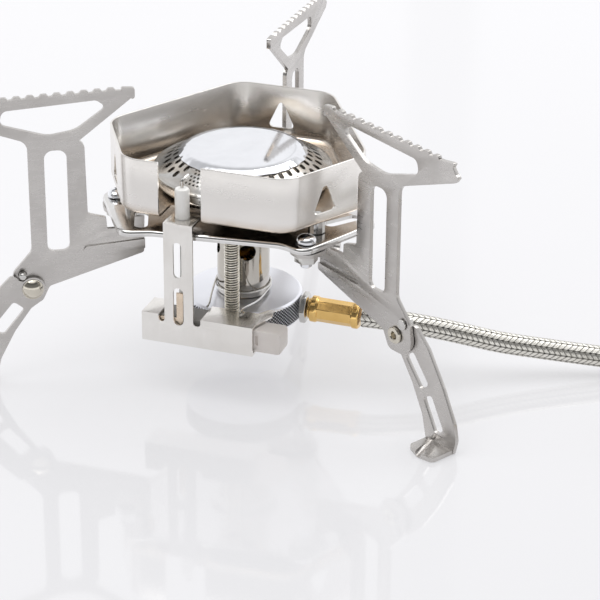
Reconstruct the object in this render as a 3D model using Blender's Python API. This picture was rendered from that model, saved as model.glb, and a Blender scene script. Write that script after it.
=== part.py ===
"""Folding canister stove with a braided hose and a remote valve. Metres, +Z up, feet on z = 0.

Every part is drawn round the burner's axis, and the whole stove is moved at the end, so that
the origin is under the middle of its bounding box. Outlines are in millimetres.
"""

import math

import bmesh
import bpy
from mathutils import Matrix, Vector

MM = 0.001
GAP = 0.3

LEG_AZIMUTHS = {"rear": 90.0, "left": 210.0, "right": 330.0}
TOOTH_DEPTH = 0.95
LEG_PIVOT = (42.3, -8.3)
LEG_SHEET = (3.3, 4.8)
BEAD_RISE = 0.9
LOWER_SHEET = (5.1, 6.6)
LOBE_R = 4.3
HINGE = (73.7, 34.3)
DETENT = (76.9, 39.3)

HUB_R = 20.75
HUB_Z = (16.4, 25.5)
TUBE_R = 9.1
TUBE_BORE_R = 8.3
AIR_HOLE_Z = 43.0
PLATE_Z = (58.0, 60.0)
PLATE_SHEET = 1.2
SHIELD_Z = (65.0, 85.0)
SHIELD_SHEET = 0.8
SHIELD_LONG = 37.3
SHIELD_SHORT = 43.7
SHIELD_CORNER_R = 10.0
SHIELD_FLOOR_R = 13.0
VENT_MIDDLES = {"rear": -1.2, "left": 0.3, "right": 1.5}
VENT_HALF_WIDTH = 5.2
VENT_Z = (69.2, 80.6)
RIVET_RING_R = 38.0

BRACKET_Y = (-38.2, -37.4)
BRACKET_X = (-22.6, 17.1)
BRACKET_Z = (19.8, 30.3)
BRACKET_DEPTH = 11.5
ARM_X = (-14.3, -4.0)
TAB_Z = (63.4, 64.2)
CERAMIC = (-9.7, -32.1)

HOSE_D = 7.5
HOSE_ROUTE = [
    (43.3, 1.2, 21.0),
    (50.0, 2.2, 20.7),
    (63.3, 5.2, 19.1),
    (76.0, 9.6, 16.1),
    (89.0, 14.4, 12.6),
    (104.0, 20.2, 9.7),
    (122.0, 26.5, 6.9),
    (140.0, 32.2, 4.5),
]
COIL_CENTRE = (177.3, 1.0)
COIL_R = 41.0
TAIL_POINT = (216.4, 13.3)
TAIL_HEADING = (0.301, -0.954)
VALVE_Z = 8.5

STEEL = ((0.62, 0.61, 0.59), 0.25, 1.0)
POLISHED = ((0.75, 0.75, 0.76), 0.08, 1.0)
BRASS = ((0.72, 0.5, 0.2), 0.25, 1.0)
COPPER = ((0.75, 0.42, 0.26), 0.3, 1.0)
CERAMIC_WHITE = ((0.9, 0.89, 0.86), 0.3, 0.0)
GREY_PLASTIC = ((0.55, 0.54, 0.5), 0.5, 0.0)
BLACK_PLASTIC = ((0.04, 0.04, 0.045), 0.45, 0.0)
WHITE_PLASTIC = ((0.85, 0.85, 0.83), 0.4, 0.0)
RUBBER = ((0.03, 0.03, 0.03), 0.8, 0.0)
BRAID = ((0.6, 0.6, 0.58), 0.35, 1.0)


# ---------------------------------------------------------------- scene, materials, objects


def clear_scene():
    for obj in list(bpy.data.objects):
        bpy.data.objects.remove(obj, do_unlink=True)


def collection(name):
    made = bpy.data.collections.new(name)
    bpy.context.scene.collection.children.link(made)
    return made


def material(name, look):
    color, roughness, metallic = look
    made = bpy.data.materials.new(name)
    made.use_nodes = True
    shader = made.node_tree.nodes["Principled BSDF"]
    shader.inputs["Base Color"].default_value = (*color, 1.0)
    shader.inputs["Roughness"].default_value = roughness
    shader.inputs["Metallic"].default_value = metallic
    made.diffuse_color = (*color, 1.0)
    return made


def part(name, mesh, look, smooth=None, pivot=(0.0, 0.0, 0.0), azimuth=0.0):
    """A named object whose mesh is drawn at azimuth 0 and whose origin is on the pivot (mm)."""
    obj = bpy.data.objects.new(name, mesh)
    turn = Matrix.Rotation(math.radians(azimuth), 4, "Z")
    obj.matrix_world = turn @ Matrix.Translation(Vector(pivot) * MM)
    PARTS.objects.link(obj)
    mesh.materials.clear()
    mesh.materials.append(material(name, look))
    if smooth is not None:
        mesh.shade_smooth()
        mesh.set_sharp_from_angle(angle=math.radians(smooth))
    return obj


# ---------------------------------------------------------------- outlines, in millimetres


def arc(centre, radius, start, end, steps):
    """Points on an arc between two angles in degrees, both ends included."""
    angles = [math.radians(start + (end - start) * i / steps) for i in range(steps + 1)]
    return [(centre[0] + radius * math.cos(a), centre[1] + radius * math.sin(a)) for a in angles]


def rounded(corners, steps=3):
    """A closed outline from (x, y, radius) corners, each rounded by an arc of that radius."""
    points = []
    for i, (x, y, radius) in enumerate(corners):
        here = Vector((x, y))
        back = Vector(corners[i - 1][:2]) - here
        ahead = Vector(corners[(i + 1) % len(corners)][:2]) - here
        if radius <= 0.0:
            points.append((x, y))
            continue
        half = back.angle(ahead) / 2
        reach = min(radius / math.tan(half), 0.49 * back.length, 0.49 * ahead.length)
        radius = reach * math.tan(half)
        centre = here + (back.normalized() + ahead.normalized()).normalized() * (radius / math.sin(half))
        first = here + back.normalized() * reach - centre
        last = here + ahead.normalized() * reach - centre
        turn = first.angle_signed(last)
        for j in range(steps + 1):
            spun = Matrix.Rotation(-turn * j / steps, 2) @ first
            points.append(tuple(centre + spun))
    return points


def obround(start, end, width, steps=5):
    """The outline of a slot with round ends, between the centres of its two ends."""
    angle = math.degrees(math.atan2(end[1] - start[1], end[0] - start[0]))
    return arc(start, width / 2, angle + 90, angle + 270, steps) + arc(
        end, width / 2, angle - 90, angle + 90, steps
    )


# ---------------------------------------------------------------- meshes


def mesh_from(points, faces):
    mesh = bpy.data.meshes.new("shape")
    mesh.from_pydata([tuple(c * MM for c in p) for p in points], [], faces)
    made = bmesh.new()
    made.from_mesh(mesh)
    bmesh.ops.remove_doubles(made, verts=made.verts, dist=1e-7)
    bmesh.ops.recalc_face_normals(made, faces=made.faces)
    made.to_mesh(mesh)
    made.free()
    return mesh


def sheet(outline, low, high, holes=(), plane="XY"):
    """A flat plate between two heights. In the plane XZ its heights run along Y."""
    curve = bpy.data.curves.new("outline", "CURVE")
    curve.dimensions = "2D"
    curve.fill_mode = "BOTH"
    curve.extrude = (high - low) / 2 * MM
    for loop in (outline, *holes):
        spline = curve.splines.new("POLY")
        spline.points.add(len(loop) - 1)
        for point, (x, y) in zip(spline.points, loop):
            point.co = (x * MM, y * MM, 0.0, 1.0)
        spline.use_cyclic_u = True
    lift = Matrix.Translation((0.0, 0.0, (low + high) / 2 * MM))
    if plane == "XZ":
        lift = Matrix.Rotation(math.pi / 2, 4, "X") @ Matrix.Translation((0.0, 0.0, -(low + high) / 2 * MM))
    mesh = mesh_of_curve(curve)
    mesh.transform(lift)
    return mesh


def mesh_of_curve(curve):
    """The closed mesh of a curve, with its caps joined to its sides."""
    guide = bpy.data.objects.new("guide", curve)
    bpy.context.scene.collection.objects.link(guide)
    bpy.context.view_layer.update()
    mesh = bpy.data.meshes.new_from_object(guide.evaluated_get(bpy.context.evaluated_depsgraph_get()))
    bpy.data.objects.remove(guide, do_unlink=True)
    made = bmesh.new()
    made.from_mesh(mesh)
    bmesh.ops.remove_doubles(made, verts=made.verts, dist=1e-6)
    bmesh.ops.recalc_face_normals(made, faces=made.faces)
    made.to_mesh(mesh)
    made.free()
    mesh.materials.clear()
    return mesh


def wire(points, diameter, resolution=1):
    """A round wire through points, with flat ends."""
    curve = bpy.data.curves.new("wire", "CURVE")
    curve.dimensions = "3D"
    curve.bevel_depth = diameter / 2 * MM
    curve.bevel_resolution = resolution
    curve.use_fill_caps = True
    spline = curve.splines.new("POLY")
    spline.points.add(len(points) - 1)
    for point, place in zip(spline.points, points):
        point.co = (*(c * MM for c in place), 1.0)
    return mesh_of_curve(curve)


def turned(outline, steps=32):
    """A solid turned about Z from (radius, height) points that run down its outer side.

    An outline that starts and ends off the axis is closed, which makes a ring.
    """
    hollow = outline[0][0] > 0.0
    faces = []
    points = []
    count = len(outline)
    for i in range(steps):
        angle = 2 * math.pi * i / steps
        points += [(r * math.cos(angle), r * math.sin(angle), z) for r, z in outline]
        after = (i + 1) % steps * count
        for j in range(count if hollow else count - 1):
            k = (j + 1) % count
            faces.append((i * count + j, i * count + k, after + k, after + j))
    return mesh_from(points, faces)


def block(low, high):
    """A box between two corners."""
    points = [(x, y, z) for x in (low[0], high[0]) for y in (low[1], high[1]) for z in (low[2], high[2])]
    faces = [(0, 1, 3, 2), (4, 6, 7, 5), (0, 4, 5, 1), (2, 3, 7, 6), (0, 2, 6, 4), (1, 5, 7, 3)]
    return mesh_from(points, faces)


def swept_ring(outline_at, profile):
    """A closed ring: outline_at gives its outline for an inset, and profile holds (inset, height)."""
    loops = [[(x, y, z) for x, y in outline_at(inset)] for inset, z in profile]
    count = len(loops[0])
    points = [p for loop in loops for p in loop]
    faces = []
    for i in range(len(loops)):
        j = (i + 1) % len(loops)
        for k in range(count):
            m = (k + 1) % count
            faces.append((i * count + k, i * count + m, j * count + m, j * count + k))
    return mesh_from(points, faces)


def boolean(mesh, other, operation):
    """The mesh joined with, or cut by, the other mesh, which goes to the cutters when it cuts."""
    base = bpy.data.objects.new("base", mesh)
    tool = bpy.data.objects.new("tool", other)
    for obj in (base, tool):
        bpy.context.scene.collection.objects.link(obj)
    change = base.modifiers.new("change", "BOOLEAN")
    change.solver = "EXACT"
    change.operation = operation
    change.object = tool
    bpy.context.view_layer.update()
    result = bpy.data.meshes.new_from_object(base.evaluated_get(bpy.context.evaluated_depsgraph_get()))
    for obj in (base, tool):
        bpy.data.objects.remove(obj, do_unlink=True)
    result.materials.clear()
    return result


def joined(mesh, *others):
    for other in others:
        mesh = boolean(mesh, other, "UNION")
    return mesh


def cut(mesh, *others):
    for other in others:
        mesh = boolean(mesh, other, "DIFFERENCE")
    return mesh


def moved(mesh, place=(0.0, 0.0, 0.0), turn=0.0, axis="Z"):
    """The mesh turned about an axis through the origin and then moved (degrees, mm)."""
    spin = Matrix.Rotation(math.radians(turn), 4, axis)
    mesh.transform(Matrix.Translation(Vector(place) * MM) @ spin)
    return mesh


def pointed(mesh, start, heading):
    """The mesh with its own +Z turned to the heading and its origin put on start."""
    spin = Vector(heading).to_track_quat("Z", "Y").to_matrix().to_4x4()
    mesh.transform(Matrix.Translation(Vector(start) * MM) @ spin)
    return mesh


def rod(start, end, radius, steps=16):
    """A plain cylinder between two points."""
    heading = Vector(end) - Vector(start)
    shape = turned([(0.0, heading.length), (radius, heading.length), (radius, 0.0), (0.0, 0.0)], steps)
    return pointed(shape, start, heading)


# ---------------------------------------------------------------- burner


def make_gas_hub():
    r = HUB_R
    low, high = HUB_Z
    outline = [(0.0, high), (r - 1.2, high), (r, high - 0.9), (r, low + 0.9), (r - 0.9, low)]
    outline += [(15.0, low), (14.2, low + 1.2), (0.0, low + 1.2)]
    part("gas_hub", turned(outline, 40), POLISHED, 35)


def make_jet():
    z = HUB_Z[1] + GAP
    outline = [(0.0, z + 9.5), (1.2, z + 9.5), (2.4, z + 7.5), (2.4, z + 4.5)]
    outline += [(4.0, z + 4.0), (4.0, z), (0.0, z)]
    part("jet_nozzle", turned(outline, 12), BRASS, 35)


def make_tube():
    low = HUB_Z[1] + GAP
    high = 65.6
    shape = turned([(TUBE_R, high), (TUBE_R, low), (TUBE_BORE_R, low), (TUBE_BORE_R, high)], 28)
    for azimuth in (29.0, 119.0):
        reach = Vector((math.cos(math.radians(azimuth)), math.sin(math.radians(azimuth)), 0.0)) * 12.0
        centre = Vector((0.0, 0.0, AIR_HOLE_Z))
        shape = cut(shape, rod(centre - reach, centre + reach, 3.0, 12))
    part("mixing_tube", shape, POLISHED, 35)


def make_tube_collar():
    outer = [(11.6, 58.3), (12.4, 57.7), (12.4, 55.9), (11.6, 55.3)]
    part("tube_collar", turned(outer + [(9.4, 55.3), (9.4, 58.3)], 20), STEEL, 35)


def make_bowl():
    outer = [(30.5, 70.9), (30.5, 69.4), (29.6, 67.6), (27.6, 66.5), (24.6, 66.1), (10.4, 66.1)]
    neck = [(10.4, 63.2), (9.4, 63.2), (9.4, 66.9)]
    inner = [(24.4, 66.9), (27.2, 67.3), (28.8, 68.2), (29.7, 69.6), (29.7, 70.9)]
    part("burner_bowl", turned(outer + neck + inner, 40), STEEL, 35)


def make_ring():
    outer = [(19.6, 77.6), (20.4, 77.3), (28.0, 72.6), (30.2, 72.1), (30.7, 71.7), (30.7, 71.2)]
    inner = [(29.4, 71.2), (27.7, 71.8), (19.6, 76.8)]
    part("burner_ring", turned(outer + inner, 40), STEEL, 35)


def make_cap():
    top = [(0.0, 78.95), (10.0, 78.85), (17.5, 78.6), (19.6, 78.4), (21.0, 77.85), (22.2, 76.95)]
    under = [(21.9, 76.75), (20.5, 77.65), (19.4, 77.95), (0.0, 78.1)]
    part("burner_cap", turned(top + under, 40), POLISHED, 35)


def shield_outline(inset, corner_steps=3):
    """The hexagon of the windshield with its corners rounded, drawn inwards by the inset."""
    normals = [-90.0 + 60.0 * i for i in range(6)]
    reach = [SHIELD_LONG - inset, SHIELD_SHORT - inset] * 3
    radius = max(SHIELD_CORNER_R - inset, 1.0)
    points = []
    for i in range(6):
        a, b = math.radians(normals[i]), math.radians(normals[(i + 1) % 6])
        da, db = reach[i] - radius, reach[(i + 1) % 6] - radius
        turn = math.sin(b - a)
        x = (da * math.sin(b) - db * math.sin(a)) / turn
        y = (db * math.cos(a) - da * math.cos(b)) / turn
        points += arc((x, y), radius, normals[i], normals[i] + 60.0, corner_steps)
    return points


def shield_loop(inset):
    """The windshield's outline, or for an inset over 20 the round hole in its floor."""
    outline = shield_outline(min(inset, 5.0))
    if inset < 20.0:
        return outline
    return [tuple(Vector(p).normalized() * SHIELD_FLOOR_R) for p in outline]


def make_windshield():
    low, high = SHIELD_Z
    t = SHIELD_SHEET
    outer = [(0.0, high), (0.0, low + 2.2), (0.7, low + 0.7), (2.2, low)]
    floor = [(30.0, low), (30.0, low + t)]
    inner = [(2.5, low + t), (1.3, low + 1.3), (t, low + 2.5), (t, high)]
    shape = swept_ring(shield_loop, outer + floor + inner)
    shape = cut(shape, block((-16.2, -45.0, 60.0), (-1.1, -27.0, 90.0)))
    for side, azimuth in LEG_AZIMUTHS.items():
        middle = VENT_MIDDLES[side]
        vent = [(middle - VENT_HALF_WIDTH, VENT_Z[0], 1.3), (middle + VENT_HALF_WIDTH, VENT_Z[0], 1.3)]
        vent += [(middle, VENT_Z[1], 1.3)]
        cutter = sheet(rounded(vent, 2), 40.0, 46.0, plane="XZ")
        shape = cut(shape, moved(cutter, turn=azimuth - 90.0))
        shape = cut(shape, moved(rod((RIVET_RING_R, 0, 60), (RIVET_RING_R, 0, 70), 1.7, 8), turn=azimuth))
    part("windshield", shape, STEEL, 35)


def plate_outline(inset):
    """The base plate's outline: the same two lobes and one straight stretch, three times."""
    third = [(50.4, -125.0, 5.0), (41.8, -117.1, 9.0), (40.6, -52.0, 9.0), (49.4, -46.5, 5.0)]
    corners = []
    for k in range(3):
        for radius, azimuth, corner in third:
            angle = math.radians(azimuth + 120.0 * k)
            corners.append((radius * math.cos(angle), radius * math.sin(angle), corner))
    lines = []
    for i, (x, y, corner) in enumerate(corners):
        ahead = Vector(corners[(i + 1) % len(corners)][:2]) - Vector((x, y))
        inward = Vector((-ahead.y, ahead.x)).normalized()
        lines.append((Vector((x, y)) + inward * inset, ahead))
    inner = []
    for i, (x, y, corner) in enumerate(corners):
        (p, u), (q, v) = lines[i - 1], lines[i]
        s = (q - p).cross(v) / u.cross(v)
        concave = i % 4 in (1, 2)
        inner.append((*(p + u * s), corner + inset if concave else corner - inset))
    return rounded(inner, 2)


def make_base_plate():
    low, high = PLATE_Z
    under = high - PLATE_SHEET
    shape = sheet(plate_outline(0.0), low, high - 0.5)
    shape = joined(shape, sheet(plate_outline(0.5), high - 0.6, high))
    shape = cut(shape, sheet(plate_outline(PLATE_SHEET), low - 1.0, under))
    shape = cut(shape, rod((0, 0, 50), (0, 0, 70), TUBE_R + 0.3, 28))
    shape = cut(shape, rod((*CERAMIC, 50), (*CERAMIC, 70), 2.4, 10))
    for azimuth in LEG_AZIMUTHS.values():
        shape = cut(shape, moved(rod((*LEG_PIVOT, 50), (*LEG_PIVOT, 70), 2.15, 12), turn=azimuth))
        shape = cut(shape, moved(rod((RIVET_RING_R, 0, 50), (RIVET_RING_R, 0, 70), 1.7, 8), turn=azimuth))
        slot = sheet(obround((36.2, 8.2), (37.6, 17.0), 4.6), 50.0, 70.0)
        shape = cut(shape, moved(slot, turn=azimuth))
    part("base_plate", shape, POLISHED, 35)


def make_windshield_fixings():
    """Under each short wall a spacer holds the windshield off the plate, and a rivet goes through it."""
    for side, azimuth in LEG_AZIMUTHS.items():
        ring = [(2.9, 64.7), (2.9, 60.3), (1.7, 60.3), (1.7, 64.7)]
        part(f"spacer_{side}", moved(turned(ring, 12), (RIVET_RING_R, 0, 0)), STEEL, 35, azimuth=azimuth)
        head = [(0.0, 67.4), (1.4, 67.2), (2.5, 66.4), (2.5, 66.1), (1.4, 66.1), (1.4, 58.5)]
        foot = [(2.4, 58.5), (2.4, 58.1), (1.8, 57.85), (0.0, 57.85)]
        shape = moved(turned(head + foot, 8), (RIVET_RING_R, 0, 0))
        part(f"shield_rivet_{side}", shape, STEEL, 35, azimuth=azimuth)


# ---------------------------------------------------------------- legs


def leg_outline():
    """The upper leg from the side, as (radius, height): pan support above, hinge lobe below."""
    support = [(37.1, 99.2, 0.8), (37.1, 104.1, 0.8), (42.6, 104.5, 0.6)]
    teeth = []
    for i in range(11):
        tip = 45.0 + 4.45 * i
        top = 104.35 - 0.035 * (tip - 45.0)
        root = top - TOOTH_DEPTH
        teeth += [(tip - 1.7, root, 0.4), (tip - 0.9, top, 0.5)]
        teeth += [(tip + 0.9, top, 0.5), (tip + 1.7, root, 0.4)]
    nose = [(92.4, 101.9, 0.5), (98.2, 102.6, 0.7), (97.1, 100.9, 0.5), (98.6, 98.9, 0.6), (100.0, 98.2, 0.6)]
    nose += [(98.6, 96.2, 0.8), (73.4, 87.0, 4.0)]
    outer = [(73.4, 47.5, 4.0), (79.8, 40.2, 4.0), (81.4, 32.6, 5.0), (77.8, 28.2, 4.0), (70.6, 28.3, 3.0)]
    flange = [(67.8, 34.2, 2.0), (35.2, 44.4, 1.0)]
    riser = [(34.8, 57.7, 0.0), (40.2, 57.7, 0.0), (40.9, 53.9, 1.0)]
    notch = [(47.6, 53.9, 0.6), (47.8, 58.1, 0.8), (54.0, 59.9, 1.2), (54.4, 85.8, 3.0)]
    return rounded(support, 1) + rounded_run(teeth, 1) + rounded_run(nose + outer + flange + riser + notch, 2)


def rounded_run(corners, steps):
    """Rounded corners of an open stretch, whose ends stay sharp."""
    ends = [(*corners[0][:2], 0.0), *corners[1:-1], (*corners[-1][:2], corners[-1][2])]
    return rounded(ends, steps)


def make_upper_leg_shape():
    slot = [(60.4, 47.0, 2.4), (68.0, 47.0, 2.4), (68.0, 83.7, 3.0), (60.4, 83.7, 3.0)]
    hole = [(46.6, 98.0, 2.2), (50.0, 100.6, 2.2), (81.2, 98.6, 2.4), (82.4, 93.8, 2.4), (66.4, 88.9, 10.0)]
    hole += [(57.2, 90.4, 9.0)]
    pin = arc(DETENT, 1.5, 0, 315, 7)
    rivet = arc(HINGE, 2.15, 0, 330, 11)
    holes = (rounded(slot, 4), rounded(hole, 3), pin, rivet)
    upright = sheet(leg_outline(), *LEG_SHEET, holes=holes, plane="XZ")
    lobe = [(35.0, 4.6, 0.0), (35.0, -6.0, 4.0), (38.6, -13.2, 4.6), (47.4, -13.2, 4.6), (47.4, -3.2, 4.6)]
    lobe += [(40.1, 0.4, 2.0), (40.1, 4.6, 0.0)]
    tab = sheet(rounded(lobe, 4), 56.2, 57.65, holes=(arc(LEG_PIVOT, 2.15, 0, 330, 11),))
    inner, outer = LEG_SHEET
    bead = sheet(obround((34.9, 47.9), (54.2, 46.6), 3.4, 4), outer - 0.2, outer + BEAD_RISE, plane="XZ")
    groove = sheet(obround((33.9, 47.9), (54.2, 46.6), 2.2, 4), inner - 0.5, inner + BEAD_RISE, plane="XZ")
    trim = block((30.0, 0.0, 40.0), (34.9, 8.0, 55.0))
    return cut(joined(upright, tab, bead), groove, trim)


def slot_corners(start, end, width, radius):
    """The four corners of a straight slot between the middles of its two ends."""
    first, last = Vector(start), Vector(end)
    side = Vector((first.y - last.y, last.x - first.x)).normalized() * (width / 2)
    corners = (first + side, first - side, last - side, last + side)
    return [(*corner, radius) for corner in corners]


def make_lower_leg_shape():
    corners = [(79.4, 39.5, 2.0), (81.4, 39.0, 1.2), (87.4, 33.0, 8.0), (94.6, 21.8, 8.0)]
    corners += [(100.3, 10.7, 10.0), (101.5, 5.0, 6.0), (100.2, 0.0, 0.0), (87.8, 0.0, 0.0)]
    corners += [(85.6, 9.0, 8.0), (80.4, 19.0, 8.0)]
    corners += [(74.6, 27.2, 3.0), (70.6, 30.0, 1.5)]
    corners += [(*point, 0.0) for point in arc(HINGE, LOBE_R, 200.0, 45.0, 8)]
    corners += [(78.2, 37.7, 0.8)]
    upper_slot = rounded(slot_corners((78.6, 28.6), (86.3, 19.2), 4.8, 1.2), 2)
    lower_slot = rounded(slot_corners((87.6, 16.4), (93.7, 5.4), 4.6, 1.2), 2)
    rivet = arc(HINGE, 2.15, 0, 330, 11)
    holes = (upper_slot, lower_slot, rivet)
    upright = sheet(rounded(corners, 3), *LOWER_SHEET, holes=holes, plane="XZ")
    pad = [(87.9, 6.0, 0.0), (87.9, -2.7, 2.0), (93.9, -4.9, 2.0), (100.1, -3.9, 2.0), (100.1, 6.0, 0.0)]
    foot = sheet(rounded(pad, 3), 0.0, 1.5)
    return joined(upright, foot)


def make_legs():
    pivot = (*LEG_PIVOT, 57.0)
    hinge = (HINGE[0], (LEG_SHEET[1] + LOWER_SHEET[0]) / 2, HINGE[1])
    upper = moved(make_upper_leg_shape(), [-c for c in pivot])
    lower = moved(make_lower_leg_shape(), [-c for c in hinge])
    for side, azimuth in LEG_AZIMUTHS.items():
        part(f"upper_leg_{side}", upper.copy(), STEEL, 35, pivot, azimuth)
        part(f"lower_leg_{side}", lower.copy(), STEEL, 35, hinge, azimuth)


def make_leg_fixings():
    """Rivets and detent pins go through the upright sheets, and the pivot screws stand in the plate."""
    x, z = HINGE
    outer = LOWER_SHEET[1] + 0.25
    inner = LEG_SHEET[0] - 0.25
    rivet = [(0.0, outer + 1.7), (1.6, outer + 1.5), (2.9, outer + 0.9), (3.7, outer), (2.0, outer)]
    rivet += [(2.0, inner)]
    rivet += [(2.9, inner), (2.9, inner - 0.7), (1.4, inner - 0.9), (1.2, inner + 0.8), (0.0, inner + 0.8)]
    pin = [(0.0, 7.4), (0.9, 7.4), (1.3, 7.0), (1.3, inner)]
    pin += [(1.9, inner), (1.9, inner - 0.5), (0.0, inner - 0.6)]
    top = PLATE_Z[1] + GAP
    screw = [(0.0, top + 1.6), (1.3, top + 1.6), (1.6, top + 2.4), (2.7, top + 2.0), (3.4, top + 0.9)]
    screw += [(3.4, top)]
    screw += [(1.95, top), (1.95, 51.6), (1.5, 51.2), (0.0, 51.2)]
    washer = [(3.2, 58.5), (3.2, 57.95), (2.1, 57.95), (2.1, 58.5)]
    nut = arc(LEG_PIVOT, 4.0, 0, 300, 5)
    place = (*LEG_PIVOT, 0.0)
    pivot = (*LEG_PIVOT, 57.0)
    rivet_shape = pointed(turned(rivet, 12), (x - pivot[0], -pivot[1], z - pivot[2]), (0, 1, 0))
    pin_place = (DETENT[0] - pivot[0], -pivot[1], DETENT[1] - pivot[2])
    pin_shape = pointed(turned(pin, 8), pin_place, (0, 1, 0))
    for side, azimuth in LEG_AZIMUTHS.items():
        part(f"hinge_rivet_{side}", rivet_shape.copy(), POLISHED, 35, pivot, azimuth)
        part(f"detent_pin_{side}", pin_shape.copy(), STEEL, 35, pivot, azimuth)
        part(f"pivot_screw_{side}", moved(turned(screw, 12), place), POLISHED, 35, azimuth=azimuth)
        part(f"pivot_washer_{side}", moved(turned(washer, 12), place), STEEL, 35, azimuth=azimuth)
        shape = sheet(nut, 53.3, 55.9, holes=(arc(LEG_PIVOT, 2.15, 0, 330, 11),))
        part(f"pivot_nut_{side}", shape, STEEL, azimuth=azimuth)


# ---------------------------------------------------------------- igniter


def make_bracket():
    front, back = BRACKET_Y
    left, right = BRACKET_X
    low, high = BRACKET_Z
    t = back - front
    rear = front + BRACKET_DEPTH
    face = [(left, low, 0.6), (right, low, 0.6), (right, high, 0.6), (ARM_X[1] + 2.6, high, 0.4)]
    face += [(ARM_X[1] + 2.6, high - 2.6, 1.0), (ARM_X[1], high - 2.6, 1.0), (ARM_X[1], TAB_Z[1], 0.0)]
    face += [(ARM_X[0], TAB_Z[1], 0.0), (ARM_X[0], high - 2.6, 1.0), (ARM_X[0] - 2.2, high - 2.6, 1.0)]
    face += [(ARM_X[0] - 2.2, high, 0.4), (left, high, 0.6)]
    slots = (obround((-9.4, 46.0), (-9.4, 56.1), 3.0), obround((-9.25, 28.9), (-9.25, 39.1), 3.7))
    shape = sheet(rounded(face, 2), front, back, holes=slots, plane="XZ")
    middle = (ARM_X[0] + ARM_X[1]) / 2
    half = (ARM_X[1] - ARM_X[0]) / 2
    tab = [(ARM_X[0], front)] + arc((middle, -27.5), half, 180, 0, 8) + [(ARM_X[1], front)]
    shape = joined(shape, sheet(tab, *TAB_Z, holes=(arc(CERAMIC, 2.8, 0, 330, 11),)))
    shape = joined(shape, block((left, front, low), (right, rear, low + t)))
    shape = joined(shape, block((left, front, high - t), (ARM_X[0] - 2.2, rear, high)))
    shape = joined(shape, block((ARM_X[1] + 2.6, front, high - t), (right, rear, high)))
    ear = [(15.0, -35.6, 0.0), (17.0, -35.6, 0.5), (20.0, -27.3, 1.5), (19.3, -19.9, 1.5), (15.0, -26.6, 0.0)]
    shape = joined(shape, sheet(rounded(ear, 3), high - t + 0.05, high - 0.05))
    part("igniter_bracket", shape, STEEL, 35)


def make_igniter():
    case = [(-20.6, -36.2, 1.0), (13.4, -36.2, 1.0), (13.4, -27.4, 1.0), (-20.6, -27.4, 1.0)]
    part("piezo_body", sheet(rounded(case, 2), 20.9, 29.2), GREY_PLASTIC, 35)
    strip = [(-21.9, 27.0), (-8.0, 27.0), (-8.0, 38.6), (-10.4, 38.6), (-10.4, 29.1), (-21.9, 29.1)]
    part("piezo_terminal", sheet(strip, -37.1, -36.5, plane="XZ"), COPPER)
    profile = rounded([(16.2, 21.1, 0.4), (26.6, 21.1, 1.2), (26.6, 29.0, 1.2), (16.2, 29.0, 0.4)], 3)
    button = sheet(profile, -36.9, -29.2, plane="XZ")
    button = cut(button, block((17.6, -37.5, 23.6), (18.5, -35.9, 27.2)))
    part("piezo_button", moved(button, (-16.2, 33.0, -25.0)), GREY_PLASTIC, 35, (16.2, -33.0, 25.0))
    x, y = CERAMIC
    outline = [(0.0, 75.0), (2.1, 75.0), (2.5, 74.4), (2.5, 62.4), (2.1, 61.8), (0.0, 61.8)]
    part("ceramic_insulator", moved(turned(outline, 20), (x, y, 0)), CERAMIC_WHITE, 35)
    spark = [(x, y, 75.3), (x, y, 77.2), (x + 0.3, y + 0.9, 77.9), (x + 0.8, y + 3.4, 78.2)]
    part("electrode_wire", wire(spark, 1.2), STEEL, 35)
    lead = [(x, y, 61.5), (x, y - 0.2, 56.5), (x + 0.6, y - 2.0, 51.0), (x + 1.0, y - 3.2, 45.0)]
    lead += [(x + 0.6, y - 3.6, 36.0), (x + 0.4, y - 3.4, 29.6)]
    part("ignition_lead", wire(lead, 1.8, 1), WHITE_PLASTIC, 35)


def make_clip_and_sleeve():
    around = []
    for i in range(29):
        angle = math.radians(199.0 - 20.0 * i)
        around.append((9.75 * math.cos(angle), 9.75 * math.sin(angle), 28.9 - 1.1 * i / 18))
    clip = [(-2.6, -28.6, 30.9), (-2.8, -26.2, 31.0), (-6.4, -14.0, 29.4)] + around
    clip += [(9.9, -12.0, 27.9), (9.5, -25.6, 30.9), (9.2, -28.6, 30.9)]
    part("retaining_wire", wire(clip, 0.8), STEEL, 35)
    outline = [(2.7, 57.5), (2.7, HUB_Z[1] + 0.5), (1.9, HUB_Z[1] + 0.5), (1.9, 57.5)]
    part("coil_sleeve", moved(turned(outline, 20), (4.3, -23.0, 0.0)), STEEL, 35)


# ---------------------------------------------------------------- inlet, hose and valve


def make_inlet():
    start, end = Vector((21.1, 0.3, 21.6)), Vector((42.5, 1.2, 21.0))
    heading = end - start
    nut = [(0.0, 2.4), (5.2, 2.4), (5.6, 2.0), (5.6, 0.4), (5.2, 0.0), (0.0, 0.0)]
    part("inlet_nut", pointed(turned(nut, 6), (21.4, 0.3, 21.6), heading), STEEL)
    tube = [(0.0, 18.4), (4.1, 18.4), (4.65, 17.9), (4.65, 16.2), (4.25, 15.7), (4.25, 3.4), (4.65, 2.9)]
    tube += [(4.65, 1.0), (3.6, 0.7), (3.6, 0.0), (0.0, 0.0)]
    part("hose_ferrule", pointed(turned(tube, 16), start + heading.normalized() * 3.1, heading), BRASS, 35)


def smooth_route(points, spacing):
    """Points along a smooth curve through the route's own points, about one per spacing."""
    ends = [Vector(p) for p in points]
    ends = [ends[0] * 2 - ends[1], *ends, ends[-1] * 2 - ends[-2]]
    path = []
    for a, b, c, d in zip(ends, ends[1:], ends[2:], ends[3:]):
        steps = max(1, round((c - b).length / spacing))
        for i in range(steps):
            t = i / steps
            square = (2 * a - 5 * b + 4 * c - d) * t**2
            cube = (3 * b - a - 3 * c + d) * t**3
            path.append(0.5 * (2 * b + (c - a) * t + square + cube))
    return [*path, ends[-2]]


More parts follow.
